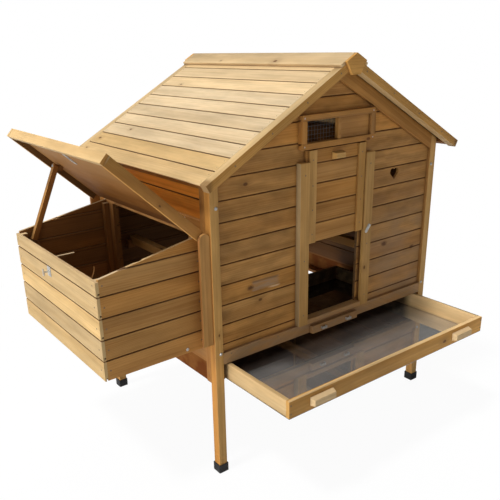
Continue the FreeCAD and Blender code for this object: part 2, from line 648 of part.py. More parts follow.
# Pop hole: guides, sill and ramp bar
for hand, side in (("left", -1), ("right", 1)):
    guide = prism("XY", (
        (f"{side} * guide_groove", "-skin_y"),
        (f"{side} * (guide_inner + guide_width)", "-skin_y"),
        (f"{side} * (guide_inner + guide_width)", "-guide_face"),
        (f"{side} * guide_inner", "-guide_face"),
        (f"{side} * guide_inner", "-guide_lip"),
        (f"{side} * guide_groove", "-guide_lip")), "rail_top", "guide_top - rail_top")
    node(f"door_guide_{hand}", guide)
node("door_sill", fuse(
    box(("-guide_inner", "-guide_face", "rail_top"), ("guide_inner", "-skin_y", "sill_top")),
    box(("-hole_half", "-skin_y", "rail_top"), ("hole_half", "-inner_y", "sill_top"))))
node("ramp_bar", box(("-bar_width / 2", "-bar_face", "wall_bottom"),
                     ("bar_width / 2", "-half_depth", "wall_bottom + bar_height")))
staples = []
for side in (-1, 1):
    left = f"{side} * staple_spacing / 2 - staple_span / 2"
    right = f"{side} * staple_spacing / 2 + staple_span / 2"
    front = "-bar_face - staple_reach"
    staples.append(prism("XY", (
        (left, "-bar_face"), (left, front), (right, front), (right, "-bar_face"),
        (f"{right} - staple_thickness", "-bar_face"),
        (f"{right} - staple_thickness", f"{front} + staple_thickness"),
        (f"{left} + staple_thickness", f"{front} + staple_thickness"),
        (f"{left} + staple_thickness", "-bar_face")), "bar_middle - staple_height / 2", "staple_height"))
node("ramp_staples", *staples)

# Vent with a sliding cover
vent = []
for edge, inner, way in (("vent_bottom", "vent_low", -1), ("vent_top", "vent_high", 1)):
    vent.append(prism("YZ", (
        ("-vent_face", edge), ("-skin_y", edge), ("-skin_y", f"{inner} + {way} * vent_groove"),
        ("-vent_lip", f"{inner} + {way} * vent_groove"), ("-vent_lip", inner),
        ("-vent_face", inner)), "-vent_half", "vent_width"))
for side in (-1, 1):
    x = ("-vent_half", "-vent_inner") if side < 0 else ("vent_inner", "vent_half")
    vent.append(box((x[0], "-vent_face", "vent_low"), (x[1], "-skin_y", "vent_high")))
node("vent_frame", *vent)
mesh = prism("XZ", (
    ("-mesh_side", "vent_low - mesh_lap"), ("mesh_side", "vent_low - mesh_lap"),
    ("mesh_side", "vent_high + mesh_lap"), ("-mesh_side", "vent_high + mesh_lap")),
    "-inner_y", "mesh_wire")
cell_x = "((mesh_columns * mesh_pitch - mesh_wire) / 2)"
cell_z = "(mesh_middle - (mesh_lines * mesh_pitch - mesh_wire) / 2)"
cell = "(mesh_pitch - mesh_wire)"
window = outline(mesh, "XZ", (
    (f"-{cell_x}", cell_z), (f"-{cell_x} + {cell}", cell_z),
    (f"-{cell_x} + {cell}", f"{cell_z} + {cell}"), (f"-{cell_x}", f"{cell_z} + {cell}")),
    "-inner_y", {})
gap = mesh.newObject("PartDesign::Pocket", "gap")
gap.Profile = window
gap.Type = "ThroughAll"
gap.Midplane = True
gaps = mesh.newObject("PartDesign::LinearPattern", "gaps")
gaps.Originals = [gap]
gaps.Direction = (datum(mesh, "X_Axis"), [""])
gaps.Direction2 = (datum(mesh, "Z_Axis"), [""])
bind(gaps, Length="(mesh_columns - 1) * mesh_pitch", Occurrences="mesh_columns")
bind(gaps, Length2="(mesh_lines - 1) * mesh_pitch", Occurrences2="mesh_lines")
mesh.Tip = gaps
node("vent_mesh", mesh)
node("vent_cover", fuse(
    box(("cover_right - cover_width", "-cover_face", "cover_low"),
        ("cover_right", "-cover_back", "cover_high")),
    box(("cover_right - cover_width", "-vent_face + cover_fit", "vent_low + cover_fit"),
        ("cover_right - cover_width + cover_grip", "-cover_face", "vent_high - cover_fit"))))

# Pop door
boards = boarding(
    "YZ", lambda a, b: (f"-door_face + {a}", f"door_rest + {b}"),
    "-door_half", "door_width", "Z", "board_pitch", "door_rows", "door_thickness")
limit = box(("-house_width", "-house_depth", "door_rest"),
            ("house_width", "0", "door_rest + door_height"))
node("door_boards", trim(boards, limit))
stiles = []
for side in (-1, 1):
    x = ["door_stile_out - door_stile_width", "door_stile_out"]
    if side < 0:
        x = ["-door_stile_out", "-door_stile_out + door_stile_width"]
    stiles.append(box((x[0], "-door_face - door_stile_thickness", "door_rest"),
                      (x[1], "-door_face", "door_rest + door_height")))
node("door_stiles", *stiles)
node("door_grip", grip("knob_width", "knob_height", ("0", "(door_rest + door_height - knob_drop)"),
                       "door_face", "knob_depth"))

# Turn button beside the pop door
half = "(catch_width / 2)"
button = prism("XZ", (
    (half, "0"), (f"-{half}", "0"), (f"-{half}", "-catch_drop"), (half, "-catch_drop")),
    "-catch_thickness", "catch_thickness", {0: ("0", "0", -1), 2: ("0", "-catch_drop", -1)})
bore = rod("y", ("0", "-2 * catch_thickness", "0"), "screw_radius + pin_fit", "3 * catch_thickness")
node("door_catch", cut(button, bore),
     base=("catch_x", "-guide_face - pin_fit", "catch_height"), angle="catch_lean")
node("catch_screw", fuse(
    rod("y", ("catch_x", "-guide_face - catch_thickness - 2 * pin_fit", "catch_height"),
        "screw_radius", "catch_thickness + 2 * pin_fit"),
    rod("y", ("catch_x", "-guide_face - 2 * catch_thickness - 2 * pin_fit", "catch_height"),
        "screw_head", "catch_thickness")))

# Roof
for hand, side in (("left", -1), ("right", 1)):
    boards = boarding(
        "XZ", lambda a, b: (f"{side} * (slope_length - ({b}))", f"-({a})"),
        "-roof_length / 2", "roof_length", "X", "slope_pitch", "roof_rows", back=side > 0)
    node(f"roof_boards_{hand}", boards, base=("0", "0", "ridge_height"), angle=f"{side} * roof_pitch")
battens = []
for start in ("-inner_y", "inner_y - batten_width"):
    for side in (-1, 1):
        drop = "batten_depth / cos(roof_pitch)"
        foot = "roof_under - batten_end * tan(roof_pitch)"
        head = "roof_under - ridge_gap * tan(roof_pitch)"
        battens.append(prism("XZ", (
            (f"{side} * ridge_gap", head), (f"{side} * batten_end", foot),
            (f"{side} * batten_end", f"{foot} - {drop}"), (f"{side} * ridge_gap", f"{head} - {drop}")),
            start, "batten_width"))
for side in (-1, 1):
    battens.append(on_slope(prism("XZ", (
        (f"{side} * eave_batten_in", "-board_thickness"), (f"{side} * eave_batten_out", "-board_thickness"),
        (f"{side} * eave_batten_out", "-barge_depth"), (f"{side} * eave_batten_in", "-barge_depth")),
        "-roof_length / 2", "roof_length"), side))
node("roof_battens", *battens)
for end, start in (("front", "-roof_end"), ("back", "roof_end - barge_thickness")):
    barges = []
    for side in (-1, 1):
        barges.append(on_slope(prism("XZ", (
            ("0", "0"), (f"{side} * slope_length", "0"), (f"{side} * slope_length", "-barge_depth"),
            (f"{side} * barge_depth * tan(roof_pitch)", "-barge_depth")), start, "barge_thickness"), side))
    node(f"bargeboards_{end}", *barges)
covers = []
for side in (-1, 1):
    covers.append(on_slope(prism("XZ", (
        (f"-{side} * cap_thickness * tan(roof_pitch)", "cap_thickness"),
        (f"{side} * cap_width", "cap_thickness"), (f"{side} * cap_width", "0"), ("0", "0")),
        "-roof_end", "2 * roof_end"), side))
node("ridge_caps", *covers)
plate = (
    ("0", "ridge_top"), ("plate_width / 2", "ridge_top - plate_width / 2 * tan(roof_pitch)"),
    ("plate_foot / 2", "ridge_top - plate_drop"), ("-plate_foot / 2", "ridge_top - plate_drop"),
    ("-plate_width / 2", "ridge_top - plate_width / 2 * tan(roof_pitch)"))
node("ridge_plates", prism("XZ", plate, "-roof_end - plate_thickness", "plate_thickness"),
     prism("XZ", plate, "roof_end", "plate_thickness"))

# Tray and its runners
node("tray_runners",
     box(("-skin_x", "-leg_inner_y", "runner_top - runner_height"),
         ("-skin_x + runner_width", "leg_inner_y", "runner_top")),
     box(("skin_x - runner_width", "-leg_inner_y", "runner_top - runner_height"),
         ("skin_x", "leg_inner_y", "runner_top")))
tray = [
    box(("-tray_half", "-tray_front", "tray_bottom"), ("tray_half", "-tray_front + tray_board", "tray_top")),
    box(("-tray_half", "tray_back - tray_board", "tray_bottom"), ("tray_half", "tray_back", "tray_top"))]
for x in (("-tray_half", "-tray_half + tray_board"), ("tray_half - tray_board", "tray_half")):
    tray.append(box((x[0], "-tray_front + tray_board", "tray_bottom"),
                    (x[1], "tray_back - tray_board", "tray_top")))
node("tray_frame", *tray)
node("tray_sheet", box(("-tray_half", "-tray_front", "tray_bottom - tray_sheet"),
                       ("tray_half", "tray_back", "tray_bottom")))
node("tray_grips", *[
    grip("handle_width", "handle_height",
         (f"{side} * handle_spacing / 2", "(handle_z + handle_height / 2)"), "tray_front", "handle_depth")
    for side in (-1, 1)])

# Perches
perches = []
brackets = []
for place in ("-perch_x", "(perch_spacing - perch_x)"):
    perches.append(box((f"{place} - perch_half", "-perch_end", "perch_height"),
                       (f"{place} + perch_half", "perch_end", "perch_height + perch_size")))
    for start in ("-inner_y", "inner_y - bracket_depth"):
        brackets.append(prism("XZ", (
            (f"{place} - bracket_out", "bracket_low"), (f"{place} + bracket_out", "bracket_low"),
            (f"{place} + bracket_out", "bracket_high"), (f"{place} + bracket_in", "bracket_high"),
            (f"{place} + bracket_in", "perch_height"), (f"{place} - bracket_in", "perch_height"),
            (f"{place} - bracket_in", "bracket_high"), (f"{place} - bracket_out", "bracket_high")),
            start, "bracket_depth"))
node("perches", *perches)
node("perch_brackets", *brackets)

# Nest box
boards = boarding(
    "XZ", lambda a, b: (f"-nest_out + {a}", f"nest_bottom + {b}"),
    "-nest_half", "nest_length", "Z", "board_pitch", "rim_rows")
limit = box(("-2 * nest_out", "-nest_length", "nest_bottom"), ("0", "nest_length", "nest_rim"))
node("nest_outer_boards", trim(boards, limit))
cheek = (("-nest_inner_x", "nest_bottom"), ("-half_width", "nest_bottom"),
         ("-half_width", "cheek_in"), ("-nest_inner_x", "cheek_out"))
for end, front in (("front", -1), ("back", 1)):
    boards = boarding(
        "YZ", lambda a, b: (f"{front} * (nest_half - ({a}))", f"nest_bottom + {b}"),
        "-nest_inner_x", "nest_inner_x - half_width", "Z", "board_pitch", "cheek_rows")
    start = "-nest_half" if front < 0 else "nest_inner_y"
    node(f"nest_{end}_boards", trim(boards, prism("XZ", cheek, start, "board_thickness")))
node("nest_floor", box(("-nest_inner_x", "-nest_inner_y", "nest_bottom"),
                       ("-half_width", "nest_inner_y", "nest_floor_top")))
corners = []
for y in (("-nest_inner_y", "-nest_inner_y + nest_batten"),
          ("nest_inner_y - nest_batten", "nest_inner_y")):
    corners.append(box(("-nest_inner_x", y[0], "nest_floor_top"),
                       ("-nest_inner_x + nest_batten", y[1], "nest_rim")))
    corners.append(box(("-half_width - nest_batten", y[0], "nest_floor_top"),
                       ("-half_width", y[1], "head_bottom - cheek_gap")))
node("nest_battens", *corners)
node("nest_divider", prism("XZ", (
    ("-divider_out", "nest_floor_top"), ("-half_width - divider_fit", "nest_floor_top"),
    ("-half_width - divider_fit", "divider_top - 2 * divider_curve"),
    ("-curve_end", "divider_top - 2 * divider_curve"),
    ("-curve_middle", "divider_top - divider_curve"), ("-curve_start", "divider_top"),
    ("-divider_out", "divider_top")), "-divider_thickness / 2", "divider_thickness",
    {3: ("-curve_end", "divider_top - divider_curve", 1),
     4: ("-curve_start", "divider_top - divider_curve", 1)}))

# Lid hinges: a leaf on the head rail, a leaf on the lid and a pin
wall_leaves = []
lid_leaves = []
pins = []
for side in (-1, 1):
    mid = f"({side} * hinge_spacing / 2)"
    low = f"({mid} - hinge_length / 2)"
    high = f"({mid} + hinge_length / 2)"
    edge = "(hinge_radius + hinge_gap)"
    pivot = ("-pivot_x", low, "lid_height")
    ends = []
    inner = (f"({mid} - knuckle / 2 - hinge_gap)", f"({mid} + knuckle / 2 + hinge_gap)")
    for a, b in ((low, inner[0]), (inner[1], high)):
        ends.append(rod("y", ("-pivot_x", a, "lid_height"), "hinge_radius", f"{b} - {a}"))
        ends.append(box(("-half_width - hinge_thickness", a, "lid_height"),
                        ("-half_width", b, f"lid_height + {edge}")))
    ends.append(box(("-half_width - hinge_thickness", low, f"lid_height + {edge}"),
                    ("-half_width", high, "lid_height + hinge_leaf")))
    bore = rod("y", pivot, "pin_radius + pin_fit", "hinge_length")
    wall_leaves.append(cut(fuse(*ends), bore))
    pins.append(rod("y", pivot, "pin_radius", "hinge_length"))
    start = f"({mid} - knuckle / 2)"
    leaf = fuse(
        rod("y", ("0", start, "0"), "hinge_radius", "knuckle"),
        box((f"-{edge}", start, "0"), ("0", f"{start} + knuckle", "hinge_thickness")),
        box(("-hinge_leaf - lid_setback", low, "0"), (f"-{edge}", high, "hinge_thickness")))
    lid_leaves.append(cut(leaf, rod("y", ("0", low, "0"), "pin_radius + pin_fit", "hinge_length")))
node("hinge_wall_leaves", *wall_leaves)
node("hinge_pins", *pins)

# Nest lid, drawn flat from its hinge and turned up to its open place
lid_place = dict(base=("-pivot_x", "0", "lid_height"), angle="lid_open")
lid = boarding(
    "XZ", lambda a, b: (f"-lid_span + {b}", f"-({a})"),
    "-lid_half + fascia_thickness", "lid_width - 2 * fascia_thickness",
    "X", "lid_pitch", "lid_rows", "lid_board")
lining = box(("-lid_span", "-lid_half + fascia_thickness", "-board_thickness"),
             ("-lid_setback", "lid_half - fascia_thickness", "-lid_board"))
node("lid_boards", lid, lining, **lid_place)
edges = [box(("-lid_length", "-lid_half", "-fascia_depth"), ("-lid_span", "lid_half", "0"))]
for y in (("-lid_half", "-lid_half + fascia_thickness"), ("lid_half - fascia_thickness", "lid_half")):
    edges.append(box(("-lid_span", y[0], "-fascia_depth"), ("-fascia_setback", y[1], "0")))
node("lid_fascias", *edges, **lid_place)
node("hinge_lid_leaves", *lid_leaves, **lid_place)

# Prop under the lid, drawn upright from its pivot
prop_place = dict(base=("-prop_top_x", "prop_y", "prop_top_z"), angle="prop_angle")
half = "(prop_size / 2)"
stick = prism("YZ", (
    (half, "0"), (f"-{half}", "0"), (f"-{half}", "-prop_length"), (half, "-prop_length")),
    f"-{half}", "prop_size", {0: ("0", "0", -1)})
bore = rod("x", ("-prop_size", "0", "0"), "screw_radius + pin_fit", "2 * prop_size")
node("lid_prop", cut(stick, bore), **prop_place)
slant = "(prop_drop - {} * sin(prop_tilt)) / cos(prop_tilt)"
block = prism("XZ", (
    ("prop_side", f"-{half}"), ("prop_block_end", f"-{half}"),
    ("prop_block_end", slant.format("prop_block_end")), ("prop_side", slant.format("prop_side"))),
    f"-{half}", "prop_size")
shank = "(prop_side + screw_bite)"
node("prop_block", cut(block, rod("x", ("0", "0", "0"), "screw_radius", shank)), **prop_place)
node("prop_screw", fuse(
    rod("x", ("-prop_side", "0", "0"), "screw_radius", f"prop_side + {shank}"),
    rod("x", ("-prop_side - hinge_thickness", "0", "0"), "screw_head", "hinge_thickness")), **prop_place)
rest_in = "(rest_out - rest_width)"
rest_top = "prop_foot_z - prop_gap / cos(prop_angle) + ({} - prop_foot_x) * tan(prop_angle)"
rest_low = f"({rest_top.format(rest_in)} - rest_height)"
node("prop_rest", prism("XZ", (
    ("-rest_out", rest_low), (f"-{rest_in}", rest_low), (f"-{rest_in}", rest_top.format(rest_in)),
    ("-rest_out", rest_top.format("rest_out"))), "nest_inner_y - rest_depth", "rest_depth"))

# Hasp under the lid and the turn eye that it drops over
left = "(hasp_y - hasp_width / 2)"
right = "(hasp_y + hasp_width / 2)"
leaf = []
inner = (f"({left} + hasp_knuckle - hinge_gap)", f"({right} - hasp_knuckle + hinge_gap)")
for a, b in ((left, inner[0]), (inner[1], right)):
    leaf.append(rod("y", ("-hasp_reach", a, "-hasp_depth"), "hasp_radius", f"{b} - {a}"))
    leaf.append(box(("-hasp_reach - hasp_radius - hinge_gap", a, "-board_thickness - hasp_thickness"),
                    ("-hasp_reach - hasp_pin - pin_fit", b, "-board_thickness")))
leaf.append(box(("-hasp_leaf_end", left, "-board_thickness - hasp_thickness"),
                ("-hasp_reach - hasp_radius - hinge_gap", right, "-board_thickness")))
bore = rod("y", ("-hasp_reach", left, "-hasp_depth"), "hasp_pin + pin_fit", "hasp_width")
node("hasp_leaf", cut(fuse(*leaf), bore),
     rod("y", ("-hasp_reach", left, "-hasp_depth"), "hasp_pin", "hasp_width"), **lid_place)
mid_low = f"({left} + hasp_knuckle)"
mid_high = f"({right} - hasp_knuckle)"
flat = ("-hasp_depth + hasp_radius - hasp_thickness", "-hasp_depth + hasp_radius")
strap = fuse(
    rod("y", ("-hasp_reach", mid_low, "-hasp_depth"), "hasp_radius", "hasp_knuckle"),
    box(("-hasp_reach", mid_low, flat[0]), ("-hasp_reach + hasp_radius + hinge_gap", mid_high, flat[1])),
    box(("-hasp_reach + hasp_radius + hinge_gap", left, flat[0]),
        ("-hasp_reach + hasp_end", right, flat[1])))
slot = box(("-hasp_reach + hasp_slot_at - slot_length / 2", "hasp_y - slot_width / 2", "-2 * hasp_depth"),
           ("-hasp_reach + hasp_slot_at + slot_length / 2", "hasp_y + slot_width / 2", "0"))
bore = rod("y", ("-hasp_reach", left, "-hasp_depth"), "hasp_pin + pin_fit", "hasp_width")
node("hasp_strap", cut(strap, slot, bore), **lid_place)
base_plate = box(
    ("-nest_out - latch_thickness", "hasp_y - latch_width / 2", "latch_height - latch_length / 2"),
    ("-nest_out", "hasp_y + latch_width / 2", "latch_height + latch_length / 2"))
bore = rod("x", ("-nest_out - 2 * latch_thickness", "hasp_y", "latch_height"),
           "eye_radius + pin_fit", "2 * latch_thickness")
node("latch_plate", cut(base_plate, bore))
node("turn_eye", fuse(
    rod("x", ("-eye_end", "hasp_y", "latch_height"), "eye_radius", "eye_end - nest_out - pin_fit"),
    box(("-eye_end - eye_thickness", "hasp_y - eye_width / 2", "latch_height - eye_length / 2"),
        ("-eye_end", "hasp_y + eye_width / 2", "latch_height + eye_length / 2"))))

# Check every object, then write one file for each node
doc.recompute()
faults = [obj.Name for obj in doc.Objects if {"Invalid", "Error"} & set(obj.State)]
for obj in nodes:
    if obj.Shape.isNull() or not obj.Shape.isValid() or not obj.Shape.Solids:
        faults.append(obj.Label)
if faults:
    raise RuntimeError("faulty: " + ", ".join(faults))
os.makedirs("parts", exist_ok=True)
for obj in nodes:
    obj.Shape.exportStep(f"parts/{obj.Label}.step")
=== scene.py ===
import json
import math
from typing import NamedTuple

import bmesh
import bpy
from bpy.props import FloatProperty, FloatVectorProperty, IntProperty, PointerProperty
from mathutils import Matrix, Vector


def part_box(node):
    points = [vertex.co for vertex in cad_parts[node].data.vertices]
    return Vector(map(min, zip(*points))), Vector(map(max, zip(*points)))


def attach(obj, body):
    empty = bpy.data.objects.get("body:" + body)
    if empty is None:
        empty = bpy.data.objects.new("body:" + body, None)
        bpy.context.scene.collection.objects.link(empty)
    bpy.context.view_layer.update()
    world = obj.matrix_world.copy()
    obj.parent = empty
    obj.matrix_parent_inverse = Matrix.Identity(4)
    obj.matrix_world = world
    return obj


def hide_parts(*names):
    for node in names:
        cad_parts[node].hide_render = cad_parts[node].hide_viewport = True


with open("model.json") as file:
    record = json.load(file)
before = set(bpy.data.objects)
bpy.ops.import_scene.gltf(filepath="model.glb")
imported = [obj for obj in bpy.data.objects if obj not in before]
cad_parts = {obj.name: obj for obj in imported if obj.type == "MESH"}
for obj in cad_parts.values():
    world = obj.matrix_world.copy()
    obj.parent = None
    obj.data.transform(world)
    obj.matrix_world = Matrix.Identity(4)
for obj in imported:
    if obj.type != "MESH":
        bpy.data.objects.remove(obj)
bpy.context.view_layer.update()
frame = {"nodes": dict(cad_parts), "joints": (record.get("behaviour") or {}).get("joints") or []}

bl_info = {
    "name": "Hen coop finish",
    "version": (1, 0, 0),
    "blender": (4, 5, 0),
    "location": "View3D > Sidebar > Coop",
    "description": "Timber, ironwork and fasteners of a raised hen coop",
    "category": "Object",
}

# Places from the frame

NODES = frame["nodes"]
JOINTS = {joint["name"]: joint for joint in frame["joints"]}
LEG_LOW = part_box("leg_front_left")[0]
LEG_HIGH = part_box("leg_back_right")[1]
MIDDLE = Vector(((LEG_LOW.x + LEG_HIGH.x) / 2, (LEG_LOW.y + LEG_HIGH.y) / 2, 0.0))
RIDGE = Vector((MIDDLE.x, 0.0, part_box("bargeboards_front")[1].z))
LID_PIVOT = Vector(JOINTS["nest_lid"]["pos_m"])
PROP_PIVOT = Vector(JOINTS["prop_fold"]["pos_m"])

# Angles, and sizes of the timber and the pop hole in metres

ROOF_PITCH = math.radians(29)
LID_OPEN = math.radians(43)
PROP_LEAN = math.radians(24.375)
SHARP_ANGLE = math.radians(35)
WALL_BOARD = 0.0645
ROOF_BOARD = 0.0611
LID_BOARD = 0.06082
BOARD_JOINT = 0.004
ROOF_SLOPE = 0.62656
LID_SPAN = 0.37592
LID_SHEET = 0.007
LID_EDGE = 0.03
FASCIA = 0.014
LEG = 0.03
GABLE_RAIL = 0.044
SIDE_RAIL = 0.04
SIDE_STILE = 0.022
VENT_STILE = 0.02
VENT_RAIL = 0.018
PROP_BAR = 0.018
DOOR_GUIDE = 0.039
DOOR_STILE = 0.031
BARGE = 0.05
BARGE_DROP = 0.04
RIDGE_CAP = 0.06
RIDGE_PLATE = 0.065
TRAY_BOARD = 0.055
TRAY_END = 0.014
TRAY_GRIP = 0.028
POP_HALF = 0.118
POP_TOP = 0.75

# Heights between which the rain's splash grows, downwards

SPLASH = (0.50, 0.44)

# Eased edges of stout and thin timber, as shares of the usual rounding

THIN_EDGE = 0.6
STOUT_EDGE = 1.3
LEG_EDGE = 1.6

# Shine of the stained timber, of the lid and of the aprons

SHINE = 0.18
LID_SHINE = 0.06
APRON_SHINE = 0.04

# Stains, marks and dirt, and painted light and shade

# Stain; on the aprons and the side wall frames it is painted shade
STAIN_AND_SHADE = (0.16, 0.045, 0.008, 1.0)
# Painted light on the lid's lining towards its free edge
LID_EDGE_LIGHT = (0.42, 0.265, 0.12, 1.0)
# Painted shade on the inner face of the lid's back edge board
INNER_EDGE_SHADE = (0.06, 0.03, 0.012, 1.0)
# Painted shade on the inner faces of walls
INNER_SHADE = (0.03, 0.012, 0.005, 1.0)
RAIN_GREY = (0.27, 0.205, 0.145, 1.0)
BROWNED = (0.20, 0.10, 0.03, 1.0)
# Painted shade on the tray under the house
UNDER_HOUSE_SHADE = (0.035, 0.02, 0.01, 1.0)
# Painted shade on the cut ends round the pop hole
CUT_END_SHADE = (0.05, 0.025, 0.01, 1.0)
BARE = (0.30, 0.20, 0.12, 1.0)
DEEP_KNOT = (0.07, 0.022, 0.01, 1.0)
TORN = (0.33, 0.225, 0.14, 1.0)
TORN_SHADE = (0.10, 0.05, 0.02, 1.0)
# Painted highlight on the torn spot's lower edge
TORN_HIGHLIGHT = (0.72, 0.52, 0.30, 1.0)
DUST = (0.035, 0.032, 0.03, 1.0)

# Marks on the front wall, across from its middle and up from the ground, with their sizes

TORN_PLACE = (-0.290, 0.619)
TORN_HALF = (0.062, 0.020)
FRONT_KNOTS = ((0.262, 0.632, 0.011), (0.42, 0.588, 0.008), (-0.352, 0.617, 0.009))


# Sizes and colours that a user may change

def tone(name, description, default):
    """A colour."""
    return FloatVectorProperty(name=name, description=description, default=default, subtype="COLOR", size=3,
                               min=0, max=1)


def length(name, description, default, low, high):
    """A size in metres."""
    return FloatProperty(name=name, description=description, default=default, unit="LENGTH", min=low,
                         max=high)


def angle(name, description, default):
    """An angle in radians."""
    return FloatProperty(name=name, description=description, default=default, subtype="ANGLE")


def strength(name, description, default):
    """How much light a lamp gives."""
    return FloatProperty(name=name, description=description, default=default, min=0)


class CoopTimber(bpy.types.PropertyGroup):
    """Colours and edges of the timber."""
    fir_early: tone("Fir, early wood", "Light part of the stained fir", (0.50, 0.255, 0.072))
    fir_late: tone("Fir, late wood", "Dark lines of the stained fir", (0.295, 0.126, 0.029))
    # The pale kind is a lighter copy of the fir: painted light on the roof, the ridge caps, the lid, the tray,
    # the bargeboards' top and underside, and tops of boards
    pale_early: tone("Pale fir, early wood", "Light part of the sun-side fir", (0.69, 0.50, 0.27))
    pale_late: tone("Pale fir, late wood", "Dark lines of the sun-side fir", (0.51, 0.335, 0.155))
    # The gold kind is a lighter copy too: painted light on the nest's outer wall, and a painted highlight on
    # the left door guide's side
    gold_early: tone("Golden fir, early wood", "Light part of the nest's outer fir", (0.565, 0.395, 0.19))
    gold_late: tone("Golden fir, late wood", "Dark lines of the nest's outer fir", (0.405, 0.255, 0.104))
    rail_early: tone("Rail fir, early wood", "Light part of the legs and guides", (0.60, 0.335, 0.10))
    rail_late: tone("Rail fir, late wood", "Dark lines of the legs and guides", (0.38, 0.18, 0.042))
    # The shade kind is a darker copy: painted shade on inner faces, on pieces inside the house and the nest,
    # on the roof battens, the lid's lining, the prop's front and the uprights' left faces
    shade_early: tone("Inside fir, early wood", "Light part of the inner fir", (0.28, 0.118, 0.03))
    shade_late: tone("Inside fir, late wood", "Dark lines of the inner fir", (0.16, 0.062, 0.015))
    # The amber kind is a warmer, brighter copy: painted warm light, bounced from the lid, on the left wall's
    # outer face
    amber_early: tone("Amber fir, early wood", "Light part of the fir by the nest lid", (0.86, 0.345, 0.05))
    amber_late: tone("Amber fir, late wood", "Dark lines of the fir by the nest lid", (0.57, 0.19, 0.023))
    knot: tone("Knots", "Colour of the knots", (0.13, 0.053, 0.017))
    ring: length("Ring width", "Width of a year's growth", 0.0046, 0.001, 0.02)
    edge: length("Eased edge", "Rounding of sawn edges", 0.0009, 0.0002, 0.004)
    ear_width: length("Upright's width", "Width of the uprights beside the nest lid", 0.036, 0.01, 0.04)
    ear_depth: length("Upright's thickness", "Thickness of the same uprights", 0.010, 0.005, 0.012)
    ear_back: length("Upright's setback", "Uprights' faces behind the legs' faces", 0.006, 0.001, 0.006)
    ear_foot: length("Upright's foot", "Height of the uprights' lower end", 0.47, 0.42, 0.6)
    ear_top: length("Upright's top", "Height of the uprights' rounded end", 0.824, 0.7, 0.86)


class CoopMetal(bpy.types.PropertyGroup):
    """Colours of the metal and plastic pieces."""
    zinc: tone("Zinc", "Plated hinges, hasp and screws", (0.62, 0.61, 0.58))
    sheet: tone("Tray sheet", "Bright sheet under the tray", (0.62, 0.61, 0.585))
    dull: tone("Dull screws", "Screws and nails in the timber", (0.20, 0.165, 0.12))
    wire: tone("Mesh wire", "Wire of the vent", (0.22, 0.21, 0.20))
    foot: tone("Foot caps", "Moulded feet", (0.010, 0.010, 0.011))


class CoopFasteners(bpy.types.PropertyGroup):
    """Sizes of bolts, screws, nails and wires."""
    bolt: length("Bolt head", "Radius of a coach bolt's head", 0.0046, 0.002, 0.02)
    screw: length("Screw head", "Radius of a wood screw's head", 0.0026, 0.001, 0.01)
    small_screw: length("Fitting screw head", "Radius of a fitting screw's head", 0.0024, 0.001, 0.01)
    nail: length("Nail head", "Radius of a nail head", 0.0013, 0.0005, 0.006)
    wire: length("Mesh wire", "Radius of the vent's wires", 0.00045, 0.0002, 0.002)
    mesh: length("Mesh", "One wire of the vent to the next", 0.0127, 0.004, 0.04)
    sides: IntProperty(name="Sides", description="Sides of a round head", min=8, max=64, default=20)


class CoopStage(bpy.types.PropertyGroup):
    """Light, floor and camera."""
    eye: FloatVectorProperty(
        name="Eye", description="Where the camera stands, from the middle of the legs",
        subtype="XYZ", unit="LENGTH", size=3, default=(-1.4652, -1.794, 1.335))
    yaw: angle("Yaw", "Camera to the right of +Y", 0.6168)
    pitch: angle("Pitch", "Camera below level", 0.3652)
    roll: angle("Roll", "Camera about its own line", -0.0323)
    lens: FloatProperty(name="Lens", description="Focal length in millimetres", default=45.33)
    shift: FloatVectorProperty(
        name="Shift", description="Camera shift", size=2, default=(0.0505, 0.0626))
    key: strength("Key light", "Strength of the light from the left", 2.5)
    fill: strength("Fill light", "Strength of the soft light on the nest's side", 2.0)
    front: strength("Front light", "Strength of the light on the gable", 0.5)
    back: strength("Back light", "Strength of the light from behind", 0.9)
    ground: strength("Ground light", "Strength of the light from the ground", 1.0)
    card: strength("Reflector", "Watts of the low reflector on the left", 5.0)
    sky: strength("Sky", "Strength of the light all round", 0.1)
    floor: tone("Floor", "Colour of the floor", (0.9, 0.9, 0.9))
    bounce: tone("Floor's bounce", "Colour of the floor as it lights the coop from below", (0.5, 0.5, 0.5))


# Shader values

class Value:
    """What a shader node puts out, to be reckoned with like a number."""

    def __init__(self, socket):
        self.socket = socket
        self.tree = socket.id_data

    def __add__(self, other):
        return calc("ADD", self, other)

    def __sub__(self, other):
        return calc("SUBTRACT", self, other)

    def __rsub__(self, other):
        return calc("SUBTRACT", other, self)

    def __mul__(self, other):
        return calc("MULTIPLY", self, other)

    def __truediv__(self, other):
        return calc("DIVIDE", self, other)

    def __pow__(self, other):
        return calc("POWER", self, other)

    def __gt__(self, other):
        return calc("GREATER_THAN", self, other)

    def __lt__(self, other):
        return calc("LESS_THAN", self, other)

    def __abs__(self):
        return calc("ABSOLUTE", self)

    def __floor__(self):
        return calc("FLOOR", self)


def feed(source, socket):
    """Join a value to a socket, or set the socket's own number or colour."""
    if isinstance(source, Value):
        source.tree.links.new(source.socket, socket)
    else:
        socket.default_value = source


def grow(kind, *terms, **settings):
    """A new node with its settings, fed in the order of its sockets: what it puts out first."""
    tree = next(term.tree for term in terms if isinstance(term, Value))
    node = tree.nodes.new(kind)
    for name, value in settings.items():
        setattr(node, name, value)
    for term, socket in zip(terms, [socket for socket in node.inputs if socket.enabled]):
        feed(term, socket)
    return Value([socket for socket in node.outputs if socket.enabled][0])


def calc(operation, *terms, clamp=False):
    """A sum on numbers."""
    return grow("ShaderNodeMath", *terms, operation=operation, use_clamp=clamp)


def arrow(operation, *terms):
    """A sum on vectors or colours."""
    return grow("ShaderNodeVectorMath", *terms, operation=operation)


def scaled(wood, factor):
    """A colour made lighter or darker."""
    return arrow("SCALE", wood, factor)


def stretch(place, *factors):
    """A place drawn out along the axes."""
    return arrow("MULTIPLY", place, factors)


